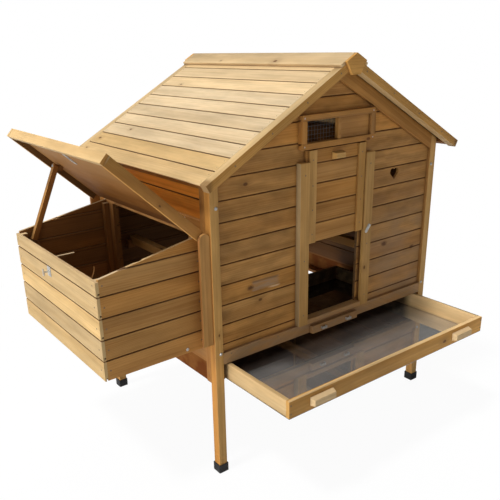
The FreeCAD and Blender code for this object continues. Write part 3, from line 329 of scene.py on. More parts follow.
def apart(vector):
    """The three parts of a vector."""
    node = vector.tree.nodes.new("ShaderNodeSeparateXYZ")
    feed(vector, node.inputs[0])
    return [Value(socket) for socket in node.outputs]


def together(x, y, z):
    """A vector out of three numbers."""
    return grow("ShaderNodeCombineXYZ", x, y, z)


def span(x, y):
    """The length of a flat arrow."""
    return arrow("LENGTH", together(x, y, 0.0))


def ease(value, low, high, start=0.0, end=1.0):
    """A soft step from start to end while the value goes from low to high."""
    return grow("ShaderNodeMapRange", value, low, high, start, end, interpolation_type="SMOOTHSTEP")


def tint(share, first, second):
    """One colour over another."""
    return grow("ShaderNodeMix", share, first, second, data_type="RGBA")


def choose(share, first, second):
    """One vector or the other."""
    return grow("ShaderNodeMix", share, first, second, data_type="VECTOR")


def cloud(place, scale=1.0, detail=2.0, roughness=0.5):
    """Smooth noise from 0 to 1."""
    return grow("ShaderNodeTexNoise", place, scale, detail, roughness)


def chance(x, y):
    """Three random numbers for a pair of whole ones."""
    noise = x.tree.nodes.new("ShaderNodeTexWhiteNoise")
    noise.noise_dimensions = "2D"
    feed(together(x, y, 0.0), noise.inputs["Vector"])
    split = x.tree.nodes.new("ShaderNodeSeparateColor")
    feed(Value(noise.outputs["Color"]), split.inputs[0])
    return [Value(socket) for socket in split.outputs]


def object_place(tree):
    """Where a point lies on the object at rest."""
    return Value(tree.nodes.new("ShaderNodeTexCoord").outputs["Object"])


def colour(value):
    """A colour with full cover."""
    return (*value, 1.0)


# Shared effects

NUMBER = "NodeSocketFloat"
COLOUR = "NodeSocketColor"
VECTOR = "NodeSocketVector"
KNOT_STEP = 0.36


def surface_group(name, inputs):
    """A new group that gives a colour, a roughness and a height: its tree, what it is given, its results."""
    tree = bpy.data.node_groups.new(name, "ShaderNodeTree")
    for title, kind, value in inputs:
        socket = tree.interface.new_socket(name=title, in_out="INPUT", socket_type=kind)
        socket.default_value = value
    for title, kind in (("Color", COLOUR), ("Roughness", NUMBER), ("Height", NUMBER)):
        tree.interface.new_socket(name=title, in_out="OUTPUT", socket_type=kind)
    given = {socket.name: Value(socket) for socket in tree.nodes.new("NodeGroupInput").outputs}
    return tree, given, tree.nodes.new("NodeGroupOutput").inputs


def fir_grain():
    """The shared timber: year rings, streaks, fibres and knots, board by board."""
    name = "fir_grain"
    if name in bpy.data.node_groups:
        return bpy.data.node_groups[name]
    tree, given, result = surface_group(name, (
        ("Grain", VECTOR, (0.0, 0.0, 0.0)), ("End", NUMBER, 0.0), ("Board", NUMBER, 0.06),
        ("Seed", NUMBER, 0.0), ("Ring", NUMBER, 0.005), ("Early Wood", COLOUR, (0.5, 0.3, 0.1, 1)),
        ("Late Wood", COLOUR, (0.3, 0.15, 0.05, 1)), ("Knot", COLOUR, (0.1, 0.04, 0.02, 1)),
        ("Knots", NUMBER, 0.4), ("Joint", NUMBER, 0.0)))
    along, across, into = apart(given["Grain"])
    board = given["Board"]
    early = given["Early Wood"]
    seed = given["Seed"] * 7.13
    row = math.floor(across / board)
    red, green, blue = chance(row, seed)
    run = red * 11.0 + along
    side = across - (row + 0.5) * board

    def drawn_out(lengthwise, crosswise, detail, roughness=0.5):
        """Noise drawn out along the board."""
        place = together(run * lengthwise, across * crosswise, into * crosswise)
        return cloud(place, 1.0, detail, roughness)

    # One chance of a knot in each length of a board
    spot = run / KNOT_STEP
    knot_red, knot_green, knot_blue = chance(math.floor(spot), row + seed)
    off_run = (calc("FRACT", spot) - (knot_red * 0.5 + 0.25)) * (KNOT_STEP / 1.6)
    off_side = (knot_green - 0.5) * board * -0.7 + side
    reach = span(off_run, off_side)
    size = knot_blue * 0.0055 + 0.0025
    present = calc("FRACT", knot_green * 7.7 + knot_red * 3.3) < given["Knots"]
    core = ease(reach, size * 0.5, size, 1.0, 0.0) * present
    halo = ease(reach, size * 0.8, size * 3.6, 1.0, 0.0) * present

    # Year rings, cut through beside the pith and bent round the knots
    bend = drawn_out(1.5, 9.0, 2.0) * 0.034 - 0.017
    from_pith = side + (green * 0.1 - 0.05) + (halo * 0.007 + bend)
    below_pith = into + (blue * 0.05 + 0.018)
    late = calc("FRACT", span(from_pith, below_pith) / given["Ring"]) ** 2.6

    # Broad streaks and fine fibres along the board
    streak = ease(drawn_out(1.1, 30.0, 3.0, 0.55), 0.36, 0.68)
    fibre = drawn_out(8.0, 380.0, 1.0)
    cloudy = drawn_out(5.0, 22.0, 3.0, 0.6)
    shade = calc("ADD", late * 0.36 + streak * 0.42, fibre * 0.4 - 0.2, clamp=True)
    wood = tint(shade, early, given["Late Wood"])
    wood = tint(green * 0.22, wood, given["Late Wood"])
    wood = scaled(wood, blue * 0.26 + 0.87)
    wood = scaled(wood, ease(cloudy, 0.25, 0.75, 0.87, 1.13))
    wood = arrow("MULTIPLY", wood, together(red * 0.12 + 0.94, 1.0, red * -0.3 + 1.15))
    wood = tint(calc("ADD", halo * 0.22, core * 0.7, clamp=True), wood, given["Knot"])
    wood = tint(given["End"] * 0.6, wood, early)

    # Stain gathers in the joint above a board, and the board's lower lip is painted paler: a painted highlight
    # where it catches the light
    half = board * 0.5
    brink = half - given["Joint"]
    jointed = given["Joint"] > 0.0001
    lip = ease(side, 0.007 - half, 0.001 - half) * jointed
    wood = tint(lip * 0.4, wood, early)
    joint = ease(side, brink - 0.0012, brink + 0.0004) * jointed
    wood = tint(joint * ease(cloudy, 0.3, 0.7, 0.95, 0.55), wood, given["Knot"])
    feed(wood, result["Color"])
    feed(given["End"] * 0.2 + (streak * 0.1 + (fibre * 0.16 + 0.42)), result["Roughness"])
    feed(core * -0.4 + (late * 0.3 + fibre * 0.6), result["Height"])
    return tree


def rubbed_metal():
    """The shared wear of metal: cloudy tone, fine scratches and small dents."""
    name = "rubbed_metal"
    if name in bpy.data.node_groups:
        return bpy.data.node_groups[name]
    tree, given, result = surface_group(name, (
        ("Colour", COLOUR, (0.6, 0.6, 0.6, 1)), ("Dull", COLOUR, (0.3, 0.3, 0.3, 1)),
        ("Scale", NUMBER, 60.0), ("Roughness", NUMBER, 0.3)))
    place = object_place(tree)
    spangle = cloud(place, given["Scale"], 3.0, 0.6)
    scratch = cloud(stretch(place, 1.0, 0.06, 1.0), given["Scale"] * 9.0)
    feed(tint(ease(spangle, 0.4, 0.7) * 0.6, given["Colour"], given["Dull"]), result["Color"])
    wear = spangle * 0.6 + (scratch * 0.3 + 0.55)
    feed(wear * given["Roughness"], result["Roughness"])
    feed(scratch * 0.5 + spangle, result["Height"])
    return tree


def placed(tree, group, **values):
    """A shared group in a material, with its own values: what it puts out, by name."""
    node = tree.nodes.new("ShaderNodeGroup")
    node.node_tree = group
    for name, value in values.items():
        feed(value, node.inputs[name.replace("_", " ")])
    return {socket.name: Value(socket) for socket in node.outputs}


# Finishes

def finish_of(name):
    """A new material: itself, its tree and its shader's sockets."""
    material = bpy.data.materials.new(name)
    material.use_nodes = True
    tree = material.node_tree
    return material, tree, tree.nodes["Principled BSDF"].inputs


def raise_surface(shader, height, depth):
    """Feed a height to the shader's normal."""
    bump = height.tree.nodes.new("ShaderNodeBump")
    feed(0.6, bump.inputs["Strength"])
    feed(depth, bump.inputs["Distance"])
    feed(height, bump.inputs["Height"])
    feed(Value(bump.outputs[0]), shader["Normal"])


def grain_axes(vector, turn):
    """The parts of a vector by axis, turned about Y to lie with a sloping piece."""
    if turn:
        node = vector.tree.nodes.new("ShaderNodeVectorRotate")
        node.rotation_type = "Y_AXIS"
        feed(vector, node.inputs["Vector"])
        feed(turn, node.inputs["Angle"])
        vector = Value(node.outputs[0])
    return dict(zip("XYZ", apart(vector)))


def third(*axes):
    """The axis that is left over."""
    return [axis for axis in "XYZ" if axis not in axes][0]


def wood_colours(kind):
    """The early and the late wood of a kind of fir."""
    props = bpy.context.scene.coop_timber
    return [colour(getattr(props, f"{kind}_{part}")) for part in ("early", "late")]


class OtherGrain(NamedTuple):
    """The grain of a node's pieces that lie beyond a distance from a middle."""
    test: str
    middle: float
    half: float
    along: str
    across: str
    board: float
    kind: str = ""


def timber(name, along, across, origin, board, start=0.0, turn=0.0, mirror=False, flip=False, kind="fir",
           seed=0, knots=0.2, joint=0.0, second=None, faces=(), figure=None, shine=SHINE):
    """A fir finish, with the grain along one axis and boards of a width across another. second is the node's
    other grain, faces the kinds of fir that show along an axis: lighter and darker copies of the fir, as
    painted light and shade; figure a step that marks the wood."""
    props = bpy.context.scene.coop_timber
    material, tree, shader = finish_of(name)
    source = tree.nodes.new("ShaderNodeTexCoord").outputs
    rest = Value(source["Object"])
    place = arrow("SUBTRACT", rest, tuple(origin))
    way = Value(source["Normal"])
    if mirror:
        x, y, z = apart(place)
        way_x, way_y, way_z = apart(way)
        place = together(abs(x), y, z)
        way = together(way_x * calc("SIGN", x), way_y, way_z)
    spot = grain_axes(place, turn)
    normal = grain_axes(way, turn)
    rise = start - spot[across] if flip else spot[across] - start
    grain = together(spot[along], rise, spot[third(along, across)])
    end = abs(normal[along])
    tones = wood_colours(kind)
    if second:
        beyond = abs(spot[second.test] - second.middle) > second.half
        other_rise = spot[second.across] * (board / second.board)
        other = together(spot[second.along], other_rise, spot[third(second.along, second.across)])
        grain = choose(beyond, grain, other)
        end = end + (abs(normal[second.along]) - end) * beyond
        if second.kind:
            tones = [tint(beyond, tone, new) for tone, new in zip(tones, wood_colours(second.kind))]
    for axis, side, face_kind in faces:
        turned = ease(normal[axis] * side, 0.6, 0.8)
        tones = [tint(turned, tone, new) for tone, new in zip(tones, wood_colours(face_kind))]
    early, late = tones
    wood = placed(tree, fir_grain(), Grain=grain, End=ease(end, 0.8, 0.95), Board=board, Seed=seed,
                  Ring=props.ring, Knots=knots, Knot=colour(props.knot), Joint=joint, Early_Wood=early,
                  Late_Wood=late)
    base = figure(rest, wood["Color"]) if figure else wood["Color"]

    # Painted shade: the timber is darker in corners, where nearby parts keep the light off
    corner = tree.nodes.new("ShaderNodeAmbientOcclusion")
    corner.samples = 8
    feed(0.022, corner.inputs["Distance"])
    corner_shade = ease(Value(corner.outputs["AO"]), 0.3, 0.85, 0.6, 0.0)
    feed(tint(corner_shade, base, colour(props.knot)), shader["Base Color"])
    feed(wood["Roughness"], shader["Roughness"])
    feed(shine, shader["Specular IOR Level"])
    raise_surface(shader, wood["Height"], 0.0006)
    return material


def steel_finish(name, shade, scale, roughness, metallic, dulled=0.6, depth=0.0002, figure=None):
    """Worn steel of one colour, made once."""
    if name in bpy.data.materials:
        return bpy.data.materials[name]
    material, tree, shader = finish_of(name)
    worn = placed(tree, rubbed_metal(), Colour=colour(shade), Dull=colour([part * dulled for part in shade]),
                  Scale=scale, Roughness=roughness)
    base = figure(object_place(tree), worn["Color"]) if figure else worn["Color"]
    feed(base, shader["Base Color"])
    feed(worn["Roughness"], shader["Roughness"])
    feed(metallic, shader["Metallic"])
    raise_surface(shader, worn["Height"], depth)
    return material


def zinc_finish():
    """Plated steel for fittings and bolts."""
    return steel_finish("zinc fittings", bpy.context.scene.coop_metal.zinc, 140.0, 0.34, 0.6)


def dull_finish():
    """Dull steel for screws and nails in the timber."""
    return steel_finish("dull screws", bpy.context.scene.coop_metal.dull, 200.0, 0.5, 0.7)


# Marks on the timber

def torn_grain(place, wood):
    """A rough grey spot on one front board, beside the pop hole, with painted shade along its top and a
    painted highlight on its lower edge.
    """
    x, _, z = apart(place)
    wide, tall = TORN_HALF
    drift = cloud(place, 16.0, 1.0) - 0.5
    off_x = drift * 0.03 + (x - (MIDDLE.x + TORN_PLACE[0]))
    off_z = drift * 0.008 + (z - TORN_PLACE[1])
    width = ease(abs(off_x), wide * 0.76, wide, 1.0, 0.0)
    spot = width * ease(abs(off_z), tall * 0.6, tall, 1.0, 0.0)
    ragged = cloud(stretch(place, 20.0, 1.0, 220.0))
    wood = tint(spot * ease(ragged, 0.25, 0.65, 0.15, 0.8), wood, TORN)
    # Painted shade along the spot's top
    upper = ease(off_z, tall * 0.35, tall * 0.8)
    wood = tint(upper * spot * 0.75, wood, TORN_SHADE)
    # Painted highlight on the spot's lower edge
    lower = ease(off_z, tall * -0.72, tall * -0.92) * ease(off_z, tall * -1.12, tall * -0.98)
    lit = lower * width * ease(off_x, 0.0, 0.03)
    return tint(lit * 0.8, wood, TORN_HIGHLIGHT)


def front_marks(place, wood):
    """The mottled front wall: painted shade on the cut ends round the pop hole, a greyer low right part, a
    rough spot and large knots.
    """
    x, _, z = apart(place)
    mottle = cloud(stretch(place, 12.0, 1.0, 34.0))
    wood = scaled(wood, ease(mottle, 0.3, 0.7, 0.84, 1.16))
    # Painted shade on the boards' cut ends round the pop hole
    cut = (abs(x - MIDDLE.x) < POP_HALF + 0.0006) * (z < POP_TOP)
    wood = tint(cut * 0.85, wood, CUT_END_SHADE)
    low_right = ease(x, MIDDLE.x - 0.05, MIDDLE.x + 0.35) * ease(z, 0.98, 0.6)
    patchy = cloud(stretch(place, 6.0, 1.0, 16.0), 1.0, 3.0)
    wood = tint(low_right * ease(patchy, 0.35, 0.65, 0.15, 0.6), wood, BARE)
    wood = torn_grain(place, wood)
    ragged = cloud(place, 260.0) * 0.008
    for at_x, at_z, size in FRONT_KNOTS:
        reach = span(x * 0.6 - 0.6 * (MIDDLE.x + at_x), z - at_z)
        share = ease(ragged + (reach - 0.004), size * 0.3, size * 1.2, 0.8, 0.0)
        wood = tint(share, wood, DEEP_KNOT)
    return wood


def stained(share):
    """A second coat of stain, thicker in places; on the aprons and the side wall frames it is painted shade:
    the step that lays it on.
    """
    def lay_on(place, wood):
        return tint(ease(cloud(place, 14.0), 0.3, 0.7, share * 0.7, share * 1.3), wood, STAIN_AND_SHADE)
    return lay_on


def lid_stain_and_light(place, wood):
    """Stain on the lid, with painted light that makes it paler towards its free edge."""
    rise = apart(place)[2] - LID_PIVOT.z
    return tint(ease(rise, 0.05, 0.24, 0.0, 0.4), stained(0.12)(place, wood), LID_EDGE_LIGHT)


def shaded_inner_edge(place, wood):
    """Painted shade on the inner face of the lid's back edge board."""
    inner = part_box("lid_fascias")[1].y - FASCIA
    y = apart(place)[1]
    band = (y > inner - 0.0005) * (y < inner + 0.0025)
    return tint(band * 0.75, wood, INNER_EDGE_SHADE)


def shade_inner_face(axis, plane):
    """Painted shade on the inner face of a wall: the step that lays it on."""
    def lay_on(place, wood):
        inner = apart(place)["XYZ".index(axis)] < plane + 0.003
        return tint(inner * 0.42, wood, INNER_SHADE)
    return lay_on


def weathered(place, wood):
    """Grey, rain-washed timber near the foot of the front wall."""
    low = ease(apart(place)[2], *SPLASH, 0.0, 0.4)
    worn = cloud(stretch(place, 12.0, 12.0, 60.0), 1.0, 3.0)
    return tint(low * ease(worn, 0.3, 0.7, 0.6, 1.3), wood, RAIN_GREY)


def browned_ends(place, wood):
    """Stain drawn into the lower ends of the bargeboards."""
    reach = MIDDLE.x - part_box("bargeboards_front")[0].x
    run = abs(apart(place)[0] - MIDDLE.x)
    return tint(ease(run, reach - 0.028, reach - 0.012, 0.0, 0.7), wood, BROWNED)


def shaded_under_house(place, base):
    """Painted shade on the part of the tray that stays under the house; on the bright sheet it stands for the
    dark inside that the sheet mirrors, as a painted reflection.
    """
    inside = ease(apart(place)[1], LEG_LOW.y + 0.005, LEG_LOW.y + 0.05, 0.0, 0.93)
    return tint(inside * ease(cloud(place, 30.0, 3.0), 0.2, 0.6, 0.8, 1.0), base, UNDER_HOUSE_SHADE)


def tray_light_and_shade(place, wood):
    """The tray's boards, painted paler on the right as painted light, with painted shade under the house."""
    paler = ease(apart(place)[0], MIDDLE.x - 0.1, MIDDLE.x + 0.4, 0.86, 1.26)
    return shaded_under_house(place, scaled(wood, paler))


# Dressing of the CAD nodes

def dress(material, *names):
    """Give CAD nodes their finish."""
    for name in names:
        materials = NODES[name].data.materials
        materials.clear()
        materials.append(material)


def ease_edges(width, *names):
    """Round the edges of CAD nodes a little."""
    for name in names:
        modifiers = NODES[name].modifiers
        weld = modifiers.new("one skin", "WELD")
        weld.merge_threshold = 0.00002
        bevel = modifiers.new("eased edges", "BEVEL")
        bevel.width = width
        bevel.segments = 2
        bevel.limit_method = "ANGLE"
        bevel.angle_limit = SHARP_ANGLE
        shade = modifiers.new("even shade", "WEIGHTED_NORMAL")
        shade.keep_sharp = False


def clad(name, along, across, origin, board, edge=1.0, also=(), **grain):
    """Give a CAD node, and those that go with it, a fir finish and eased edges."""
    dress(timber(f"fir {name}", along, across, origin, board, **grain), name, *also)
    ease_edges(bpy.context.scene.coop_timber.edge * edge, name, *also)


# Timber

# Pale tops of boards: painted light where light falls on them
PAINTED_LIGHT_TOP = (("Z", 1, "pale"),)

# Each wall: its node, the way of its boards, its kind of fir, and the side with another kind. Shade on inner
# sides is painted shade, gold on the nest's outer wall painted light, amber on the left wall's outer side
# painted bounce light.
WALLS = (
    ("front_boards", "X", "fir", ("Y", 1, "shade")), ("back_boards", "X", "fir", ("Y", -1, "shade")),
    ("left_boards", "Y", "shade", ("X", -1, "amber")), ("right_boards", "Y", "fir", ("X", -1, "shade")),
    ("nest_front_boards", "X", "fir", ("Y", 1, "shade")),
    ("nest_back_boards", "X", "fir", ("Y", -1, "shade")),
    ("nest_outer_boards", "Y", "gold", ("X", 1, "shade")), ("door_boards", "X", "fir", ("Y", 1, "shade")))

# Each piece of small timber: its node, the way of its grain, the way and width of its boards, its kind. The
# shade kind is painted shade on pieces inside the house and the nest.
SMALL_TIMBER = (
    ("side_aprons", "Y", "Z", 0.067, "fir"), ("nest_jambs", "Z", "Y", 0.068, "shade"),
    ("door_guide_left", "Z", "X", DOOR_GUIDE, "rail"), ("door_guide_right", "Z", "X", DOOR_GUIDE, "rail"),
    ("door_sill", "X", "Y", 0.04, "fir"), ("ramp_bar", "X", "Z", 0.027, "fir"),
    ("door_stiles", "Z", "X", DOOR_STILE, "rail"), ("door_grip", "X", "Z", 0.024, "rail"),
    ("perches", "Y", "X", 0.03, "fir"), ("perch_brackets", "X", "Z", 0.04, "shade"),
    ("nest_battens", "Z", "X", 0.02, "shade"), ("nest_floor", "Y", "X", 0.085, "shade"),
    ("nest_divider", "X", "Z", 0.3, "shade"), ("tray_runners", "Y", "X", 0.043, "shade"),
    ("prop_rest", "X", "Z", 0.05, "shade"), ("vent_cover", "X", "Z", 0.08, "fir"))


class COOP_OT_wall_boards(bpy.types.Operator):
    """Finish the lapped boards of the walls, the nest box and the pop door"""
    bl_idname = "coop.wall_boards"
    bl_label = "Wall boards"

    def execute(self, context):
        figures = {"front_boards": front_marks, "back_boards": shade_inner_face("Y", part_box("back_boards")[0].y),
                   "right_boards": shade_inner_face("X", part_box("right_boards")[0].x)}
        for seed, (name, along, kind, other_side) in enumerate(WALLS, start=1):
            rim = PAINTED_LIGHT_TOP if name.startswith("nest_") else ()
            clad(name, along, "Z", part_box(name)[0], WALL_BOARD, THIN_EDGE, kind=kind, seed=seed,
                 joint=BOARD_JOINT, faces=(other_side,) + rim, figure=figures.get(name))
        return {"FINISHED"}


class COOP_OT_frame_timber(bpy.types.Operator):
    """Finish the legs, rails, stiles, guides and small blocks"""
    bl_idname = "coop.frame_timber"
    bl_label = "Legs and rails"

    def execute(self, context):
        legs = ("leg_front_left", "leg_front_right", "leg_back_left", "leg_back_right")
        for seed, name in enumerate(legs, start=11):
            # Rail fir with darker fir on the left faces: painted shade
            clad(name, "Z", "X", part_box(name)[0], LEG, LEG_EDGE, kind="rail", seed=seed,
                 faces=(("X", -1, "fir"),))
        for seed, name in enumerate(("front_wall_frame", "back_wall_frame"), start=21):
            low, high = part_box(name)
            clad(name, "X", "Z", (MIDDLE.x, low.y, high.z), GABLE_RAIL, turn=-ROOF_PITCH, mirror=True,
                 seed=seed, figure=weathered)
        for seed, name in enumerate(("left_wall_frame", "right_wall_frame"), start=25):
            low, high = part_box(name)
            middle = (high.y - low.y) / 2
            stiles = OtherGrain("Y", middle, middle - SIDE_STILE, "Z", "Y", SIDE_STILE)
            # The darker coat on the side wall frames is painted shade
            clad(name, "Y", "Z", low, SIDE_RAIL, seed=seed, second=stiles, figure=stained(0.4))
        self.small_timber()
        low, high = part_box("vent_frame")
        middle = (high.z - low.z) / 2
        rails = OtherGrain("Z", middle, middle - VENT_RAIL, "X", "Z", VENT_RAIL)
        clad("vent_frame", "Z", "X", low, VENT_STILE, seed=51, second=rails, figure=stained(0.2))
        # Shade on the prop's front face: painted shade
        clad("lid_prop", "Z", "X", PROP_PIVOT, PROP_BAR, also=("prop_block",), start=-PROP_BAR / 2,
             turn=-PROP_LEAN, seed=52, knots=0.1, faces=(("Y", -1, "shade"),))
        return {"FINISHED"}

    def small_timber(self):
        """Finish the pieces that each take one grain."""
        # The heavy coat on the aprons is painted shade
        figures = {"side_aprons": stained(0.88), "vent_cover": stained(0.2), "ramp_bar": weathered,
                   "door_sill": weathered}
        # Gold on the left guide's side is a painted highlight, and pale tops on the nest's battens and divider
        # are painted light
        faces = {"door_guide_left": (("X", -1, "gold"),), "nest_battens": PAINTED_LIGHT_TOP, "nest_divider": PAINTED_LIGHT_TOP}
        for seed, (name, along, across, board, kind) in enumerate(SMALL_TIMBER, start=31):
            clad(name, along, across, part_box(name)[0], board, kind=kind, seed=seed, figure=figures.get(name),
                 faces=faces.get(name, ()), shine=APRON_SHINE if name == "side_aprons" else SHINE)


class COOP_OT_roof_timber(bpy.types.Operator):
    """Finish the roof boards, bargeboards, ridge caps and battens"""
    bl_idname = "coop.roof_timber"
    bl_label = "Roof"

    def execute(self, context):
        # Pale roof boards: painted light
        for seed, name in enumerate(("roof_boards_left", "roof_boards_right"), start=61):
            clad(name, "Y", "X", RIDGE, ROOF_BOARD, THIN_EDGE, start=ROOF_SLOPE, turn=-ROOF_PITCH,
                 mirror=True, flip=True, kind="pale", seed=seed, knots=0.1, joint=BOARD_JOINT)
        sloping = {"start": -BARGE_DROP, "turn": -ROOF_PITCH, "mirror": True}
        # Pale bargeboards with rail fir on their outer faces: painted light on the top and underside
        for seed, (name, way) in enumerate((("bargeboards_front", -1), ("bargeboards_back", 1)), start=65):
            clad(name, "X", "Z", (MIDDLE.x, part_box(name)[0].y, RIDGE.z), BARGE, STOUT_EDGE, kind="pale",
                 seed=seed, faces=(("Y", way, "rail"),), figure=browned_ends, **sloping)
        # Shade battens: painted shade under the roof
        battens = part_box("roof_battens")[0]
        clad("roof_battens", "X", "Z", (MIDDLE.x, battens.y, RIDGE.z), BARGE, STOUT_EDGE, kind="shade",
             seed=67, **sloping)
        # Pale ridge caps: painted light
        clad("ridge_caps", "Y", "X", RIDGE, RIDGE_CAP, STOUT_EDGE, kind="pale", seed=70, knots=0.1)
        clad("ridge_plates", "X", "Z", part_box("ridge_plates")[0], RIDGE_PLATE, STOUT_EDGE, kind="rail",
             seed=71)
        return {"FINISHED"}


class COOP_OT_nest_lid(bpy.types.Operator):
    """Finish the nest box's lid"""
    bl_idname = "coop.nest_lid"
    bl_label = "Nest lid"

    def execute(self, context):
        # The lining under the lid takes the shade kind: painted shade
        sheet = OtherGrain("Z", 0.0, LID_SHEET - 0.0001, "Y", "X", 0.8, "shade")
        clad("lid_boards", "Y", "X", LID_PIVOT, LID_BOARD, THIN_EDGE, start=-LID_SPAN, turn=-LID_OPEN,
             kind="pale", seed=81, joint=BOARD_JOINT, second=sheet, shine=LID_SHINE, figure=lid_stain_and_light)
        # Pale outer edge board: painted light; fir on faces that look to the front: painted shade
        outer = OtherGrain("X", 0.0, LID_SPAN - 0.0002, "Y", "Z", LID_EDGE, "pale")
        clad("lid_fascias", "X", "Z", LID_PIVOT, LID_EDGE, STOUT_EDGE, start=-LID_EDGE, turn=-LID_OPEN,
             kind="rail", seed=82, second=outer, faces=(("Y", -1, "fir"),), figure=shaded_inner_edge)
        return {"FINISHED"}


class COOP_OT_tray(bpy.types.Operator):
    """Finish the tray's frame, grips and bright sheet"""
    bl_idname = "coop.tray"
    bl_label = "Tray"

    def execute(self, context):
        low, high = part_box("tray_frame")
        middle = (high.y - low.y) / 2
        ends = OtherGrain("Y", middle, middle - TRAY_END, "X", "Z", TRAY_BOARD, "rail")
        # Pale tray frame and grips: painted light
        clad("tray_frame", "Y", "Z", low, TRAY_BOARD, STOUT_EDGE, kind="pale", seed=91, second=ends,
             faces=PAINTED_LIGHT_TOP, figure=tray_light_and_shade)
        clad("tray_grips", "X", "Z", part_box("tray_grips")[0], TRAY_GRIP, STOUT_EDGE, kind="pale", seed=92,
             knots=0.0)
        dress(steel_finish("bright tray sheet", context.scene.coop_metal.sheet, 7.0, 0.04, 0.78, dulled=0.72,
                           depth=0.00008, figure=shaded_under_house), "tray_sheet")
        return {"FINISHED"}


# Metal and plastic

class COOP_OT_ironwork(bpy.types.Operator):
    """Finish the hinges, hasp, turn eye, turn button and ramp staples"""
    bl_idname = "coop.ironwork"
    bl_label = "Ironwork"

    def execute(self, context):
        rounded = ("latch_plate", "hasp_strap", "turn_eye", "door_catch", "ramp_staples")
        dress(zinc_finish(), "hinge_wall_leaves", "hinge_lid_leaves", "hinge_pins", "catch_screw",
              "prop_screw", "hasp_leaf", *rounded)
        ease_edges(0.0003, *rounded)
        return {"FINISHED"}


class COOP_OT_foot_caps(bpy.types.Operator):
    """Finish the moulded feet"""
    bl_idname = "coop.foot_caps"
    bl_label = "Foot caps"

    def execute(self, context):
        material, tree, shader = finish_of("moulded foot caps")
        place = object_place(tree)
        pebble = cloud(place, 900.0)
        dust = ease(apart(place)[2], 0.012, 0.0) * cloud(place, 60.0, 3.0)
        feed(tint(dust, colour(context.scene.coop_metal.foot), DUST), shader["Base Color"])
        feed(pebble * 0.2 + 0.42, shader["Roughness"])
        raise_surface(shader, pebble, 0.0003)
        dress(material, "foot_caps")
        ease_edges(0.0012, "foot_caps")
        return {"FINISHED"}


# Fasteners and wires

BOLT_HEIGHTS = (0.433, 0.893)
BOLT_INWARD = 0.005
NEST_BOLT = (0.062, 0.013)
HINGE_LENGTH = 0.06
HINGE_LEAF = 0.0015
HINGE_STEPS = (0.012, 0.048)
HINGE_SCREW = -0.022
HASP_SCREW = (-0.3675, -0.0115)
BARGE_SCREWS = (0.07, 0.22, 0.37, 0.52)
ROOF_NAILS = (0.014, 0.044)
LID_NAILS = (0.016, 0.045)
NEST_ROWS = 5
ROOF_ROWS = 9
LID_ROWS = 6
NAIL_SIDES = 10
WIRE_SIDES = 8

# The nest's front and back, each with the way it faces
NEST_ENDS = (("nest_front_boards", -1), ("nest_back_boards", 1))


def new_piece(name, mesh, material, body):
    """A piece of the object: in the scene, finished, and riding on its body."""
    data = bpy.data.meshes.new(name)
    mesh.to_mesh(data)
    mesh.free()
    piece = bpy.data.objects.new(name, data)
    bpy.context.scene.collection.objects.link(piece)
    data.materials.append(material)
    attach(piece, body)
    return piece


def outer_face(name, way, axis="Y"):
    """Where a node's face that looks down or up an axis lies on it."""
    low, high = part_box(name)
    return (low if way < 0 else high)["XYZ".index(axis)]


def facing(point, normal, spin=0.0):
    """A place whose Z points along a normal."""
    turn = Vector(normal).to_track_quat("Z", "Y").to_matrix().to_4x4()
    return Matrix.Translation(point) @ turn @ Matrix.Rotation(spin, 4, "Z")


def turned_rings(mesh, place, profile, sides):
    """The skin of a turned piece: profile rows are (radius, height) from the rim to the crown."""
    rings = []
    for radius, height in profile:
        angles = [2 * math.pi * i / sides for i in range(sides)]
        points = [Vector((radius * math.cos(a), radius * math.sin(a), height)) for a in angles]
        rings.append([mesh.verts.new(place @ point) for point in points])
    for lower, upper in zip(rings, rings[1:]):
        for i in range(sides):
            j = (i + 1) % sides
            face = mesh.faces.new((lower[i], lower[j], upper[j], upper[i]))
            face.smooth = True
    return rings


def turned_solid(mesh, place, profile, sides):
    """A turned piece, closed at both ends."""
    rings = turned_rings(mesh, place, profile, sides)
    mesh.faces.new(list(reversed(rings[0])))
    mesh.faces.new(rings[-1])


def cross_head(mesh, place, radius, sides):
    """A countersunk screw head with a cross recess."""
    crown = 0.0003
    profile = ((radius, -0.0004), (radius, 0.0001), (radius * 0.9, crown))
    rings = turned_rings(mesh, place, profile, sides)
    arm = radius * 0.62
    wide = radius * 0.16
    loop = ((arm, -wide), (arm, wide), (wide, wide), (wide, arm), (-wide, arm), (-wide, wide),
            (-arm, wide), (-arm, -wide), (-wide, -wide), (-wide, -arm), (wide, -arm), (wide, -wide))
    upper = [mesh.verts.new(place @ Vector((x, y, crown))) for x, y in loop]
    lower = [mesh.verts.new(place @ Vector((x * 0.8, y * 0.8, -crown))) for x, y in loop]
    for i in range(len(loop)):
        j = (i + 1) % len(loop)
        mesh.faces.new((upper[j], upper[i], lower[i], lower[j]))
    mesh.faces.new(lower)
    rim = [mesh.edges.get((rings[-1][i], rings[-1][(i + 1) % sides])) for i in range(sides)]
    hole = [mesh.edges.get((upper[i], upper[(i + 1) % len(loop)])) for i in range(len(loop))]
    upward = place.to_3x3() @ Vector((0, 0, 1))
    bmesh.ops.triangle_fill(mesh, use_beauty=True, edges=rim + hole, normal=upward)
    mesh.faces.new(list(reversed(rings[0])))


def screws(name, body, radius, spots, finish):
    """Screws of one body: spots are (point, normal)."""
    sides = bpy.context.scene.coop_fasteners.sides
    mesh = bmesh.new()
    for number, (point, normal) in enumerate(spots):
        cross_head(mesh, facing(point, normal, number * 0.7), radius, sides)
    new_piece(name, mesh, finish, body)


def lid_way(x, z):
    """A direction on the open lid."""
    return Matrix.Rotation(LID_OPEN, 3, "Y") @ Vector((x, 0.0, z))


def lid_point(x, y, z):
    """A place on the open lid, from its hinge with the lid laid flat, and on the row's Y."""
    return LID_PIVOT + lid_way(x, z) + Vector((0.0, y - LID_PIVOT.y, 0.0))


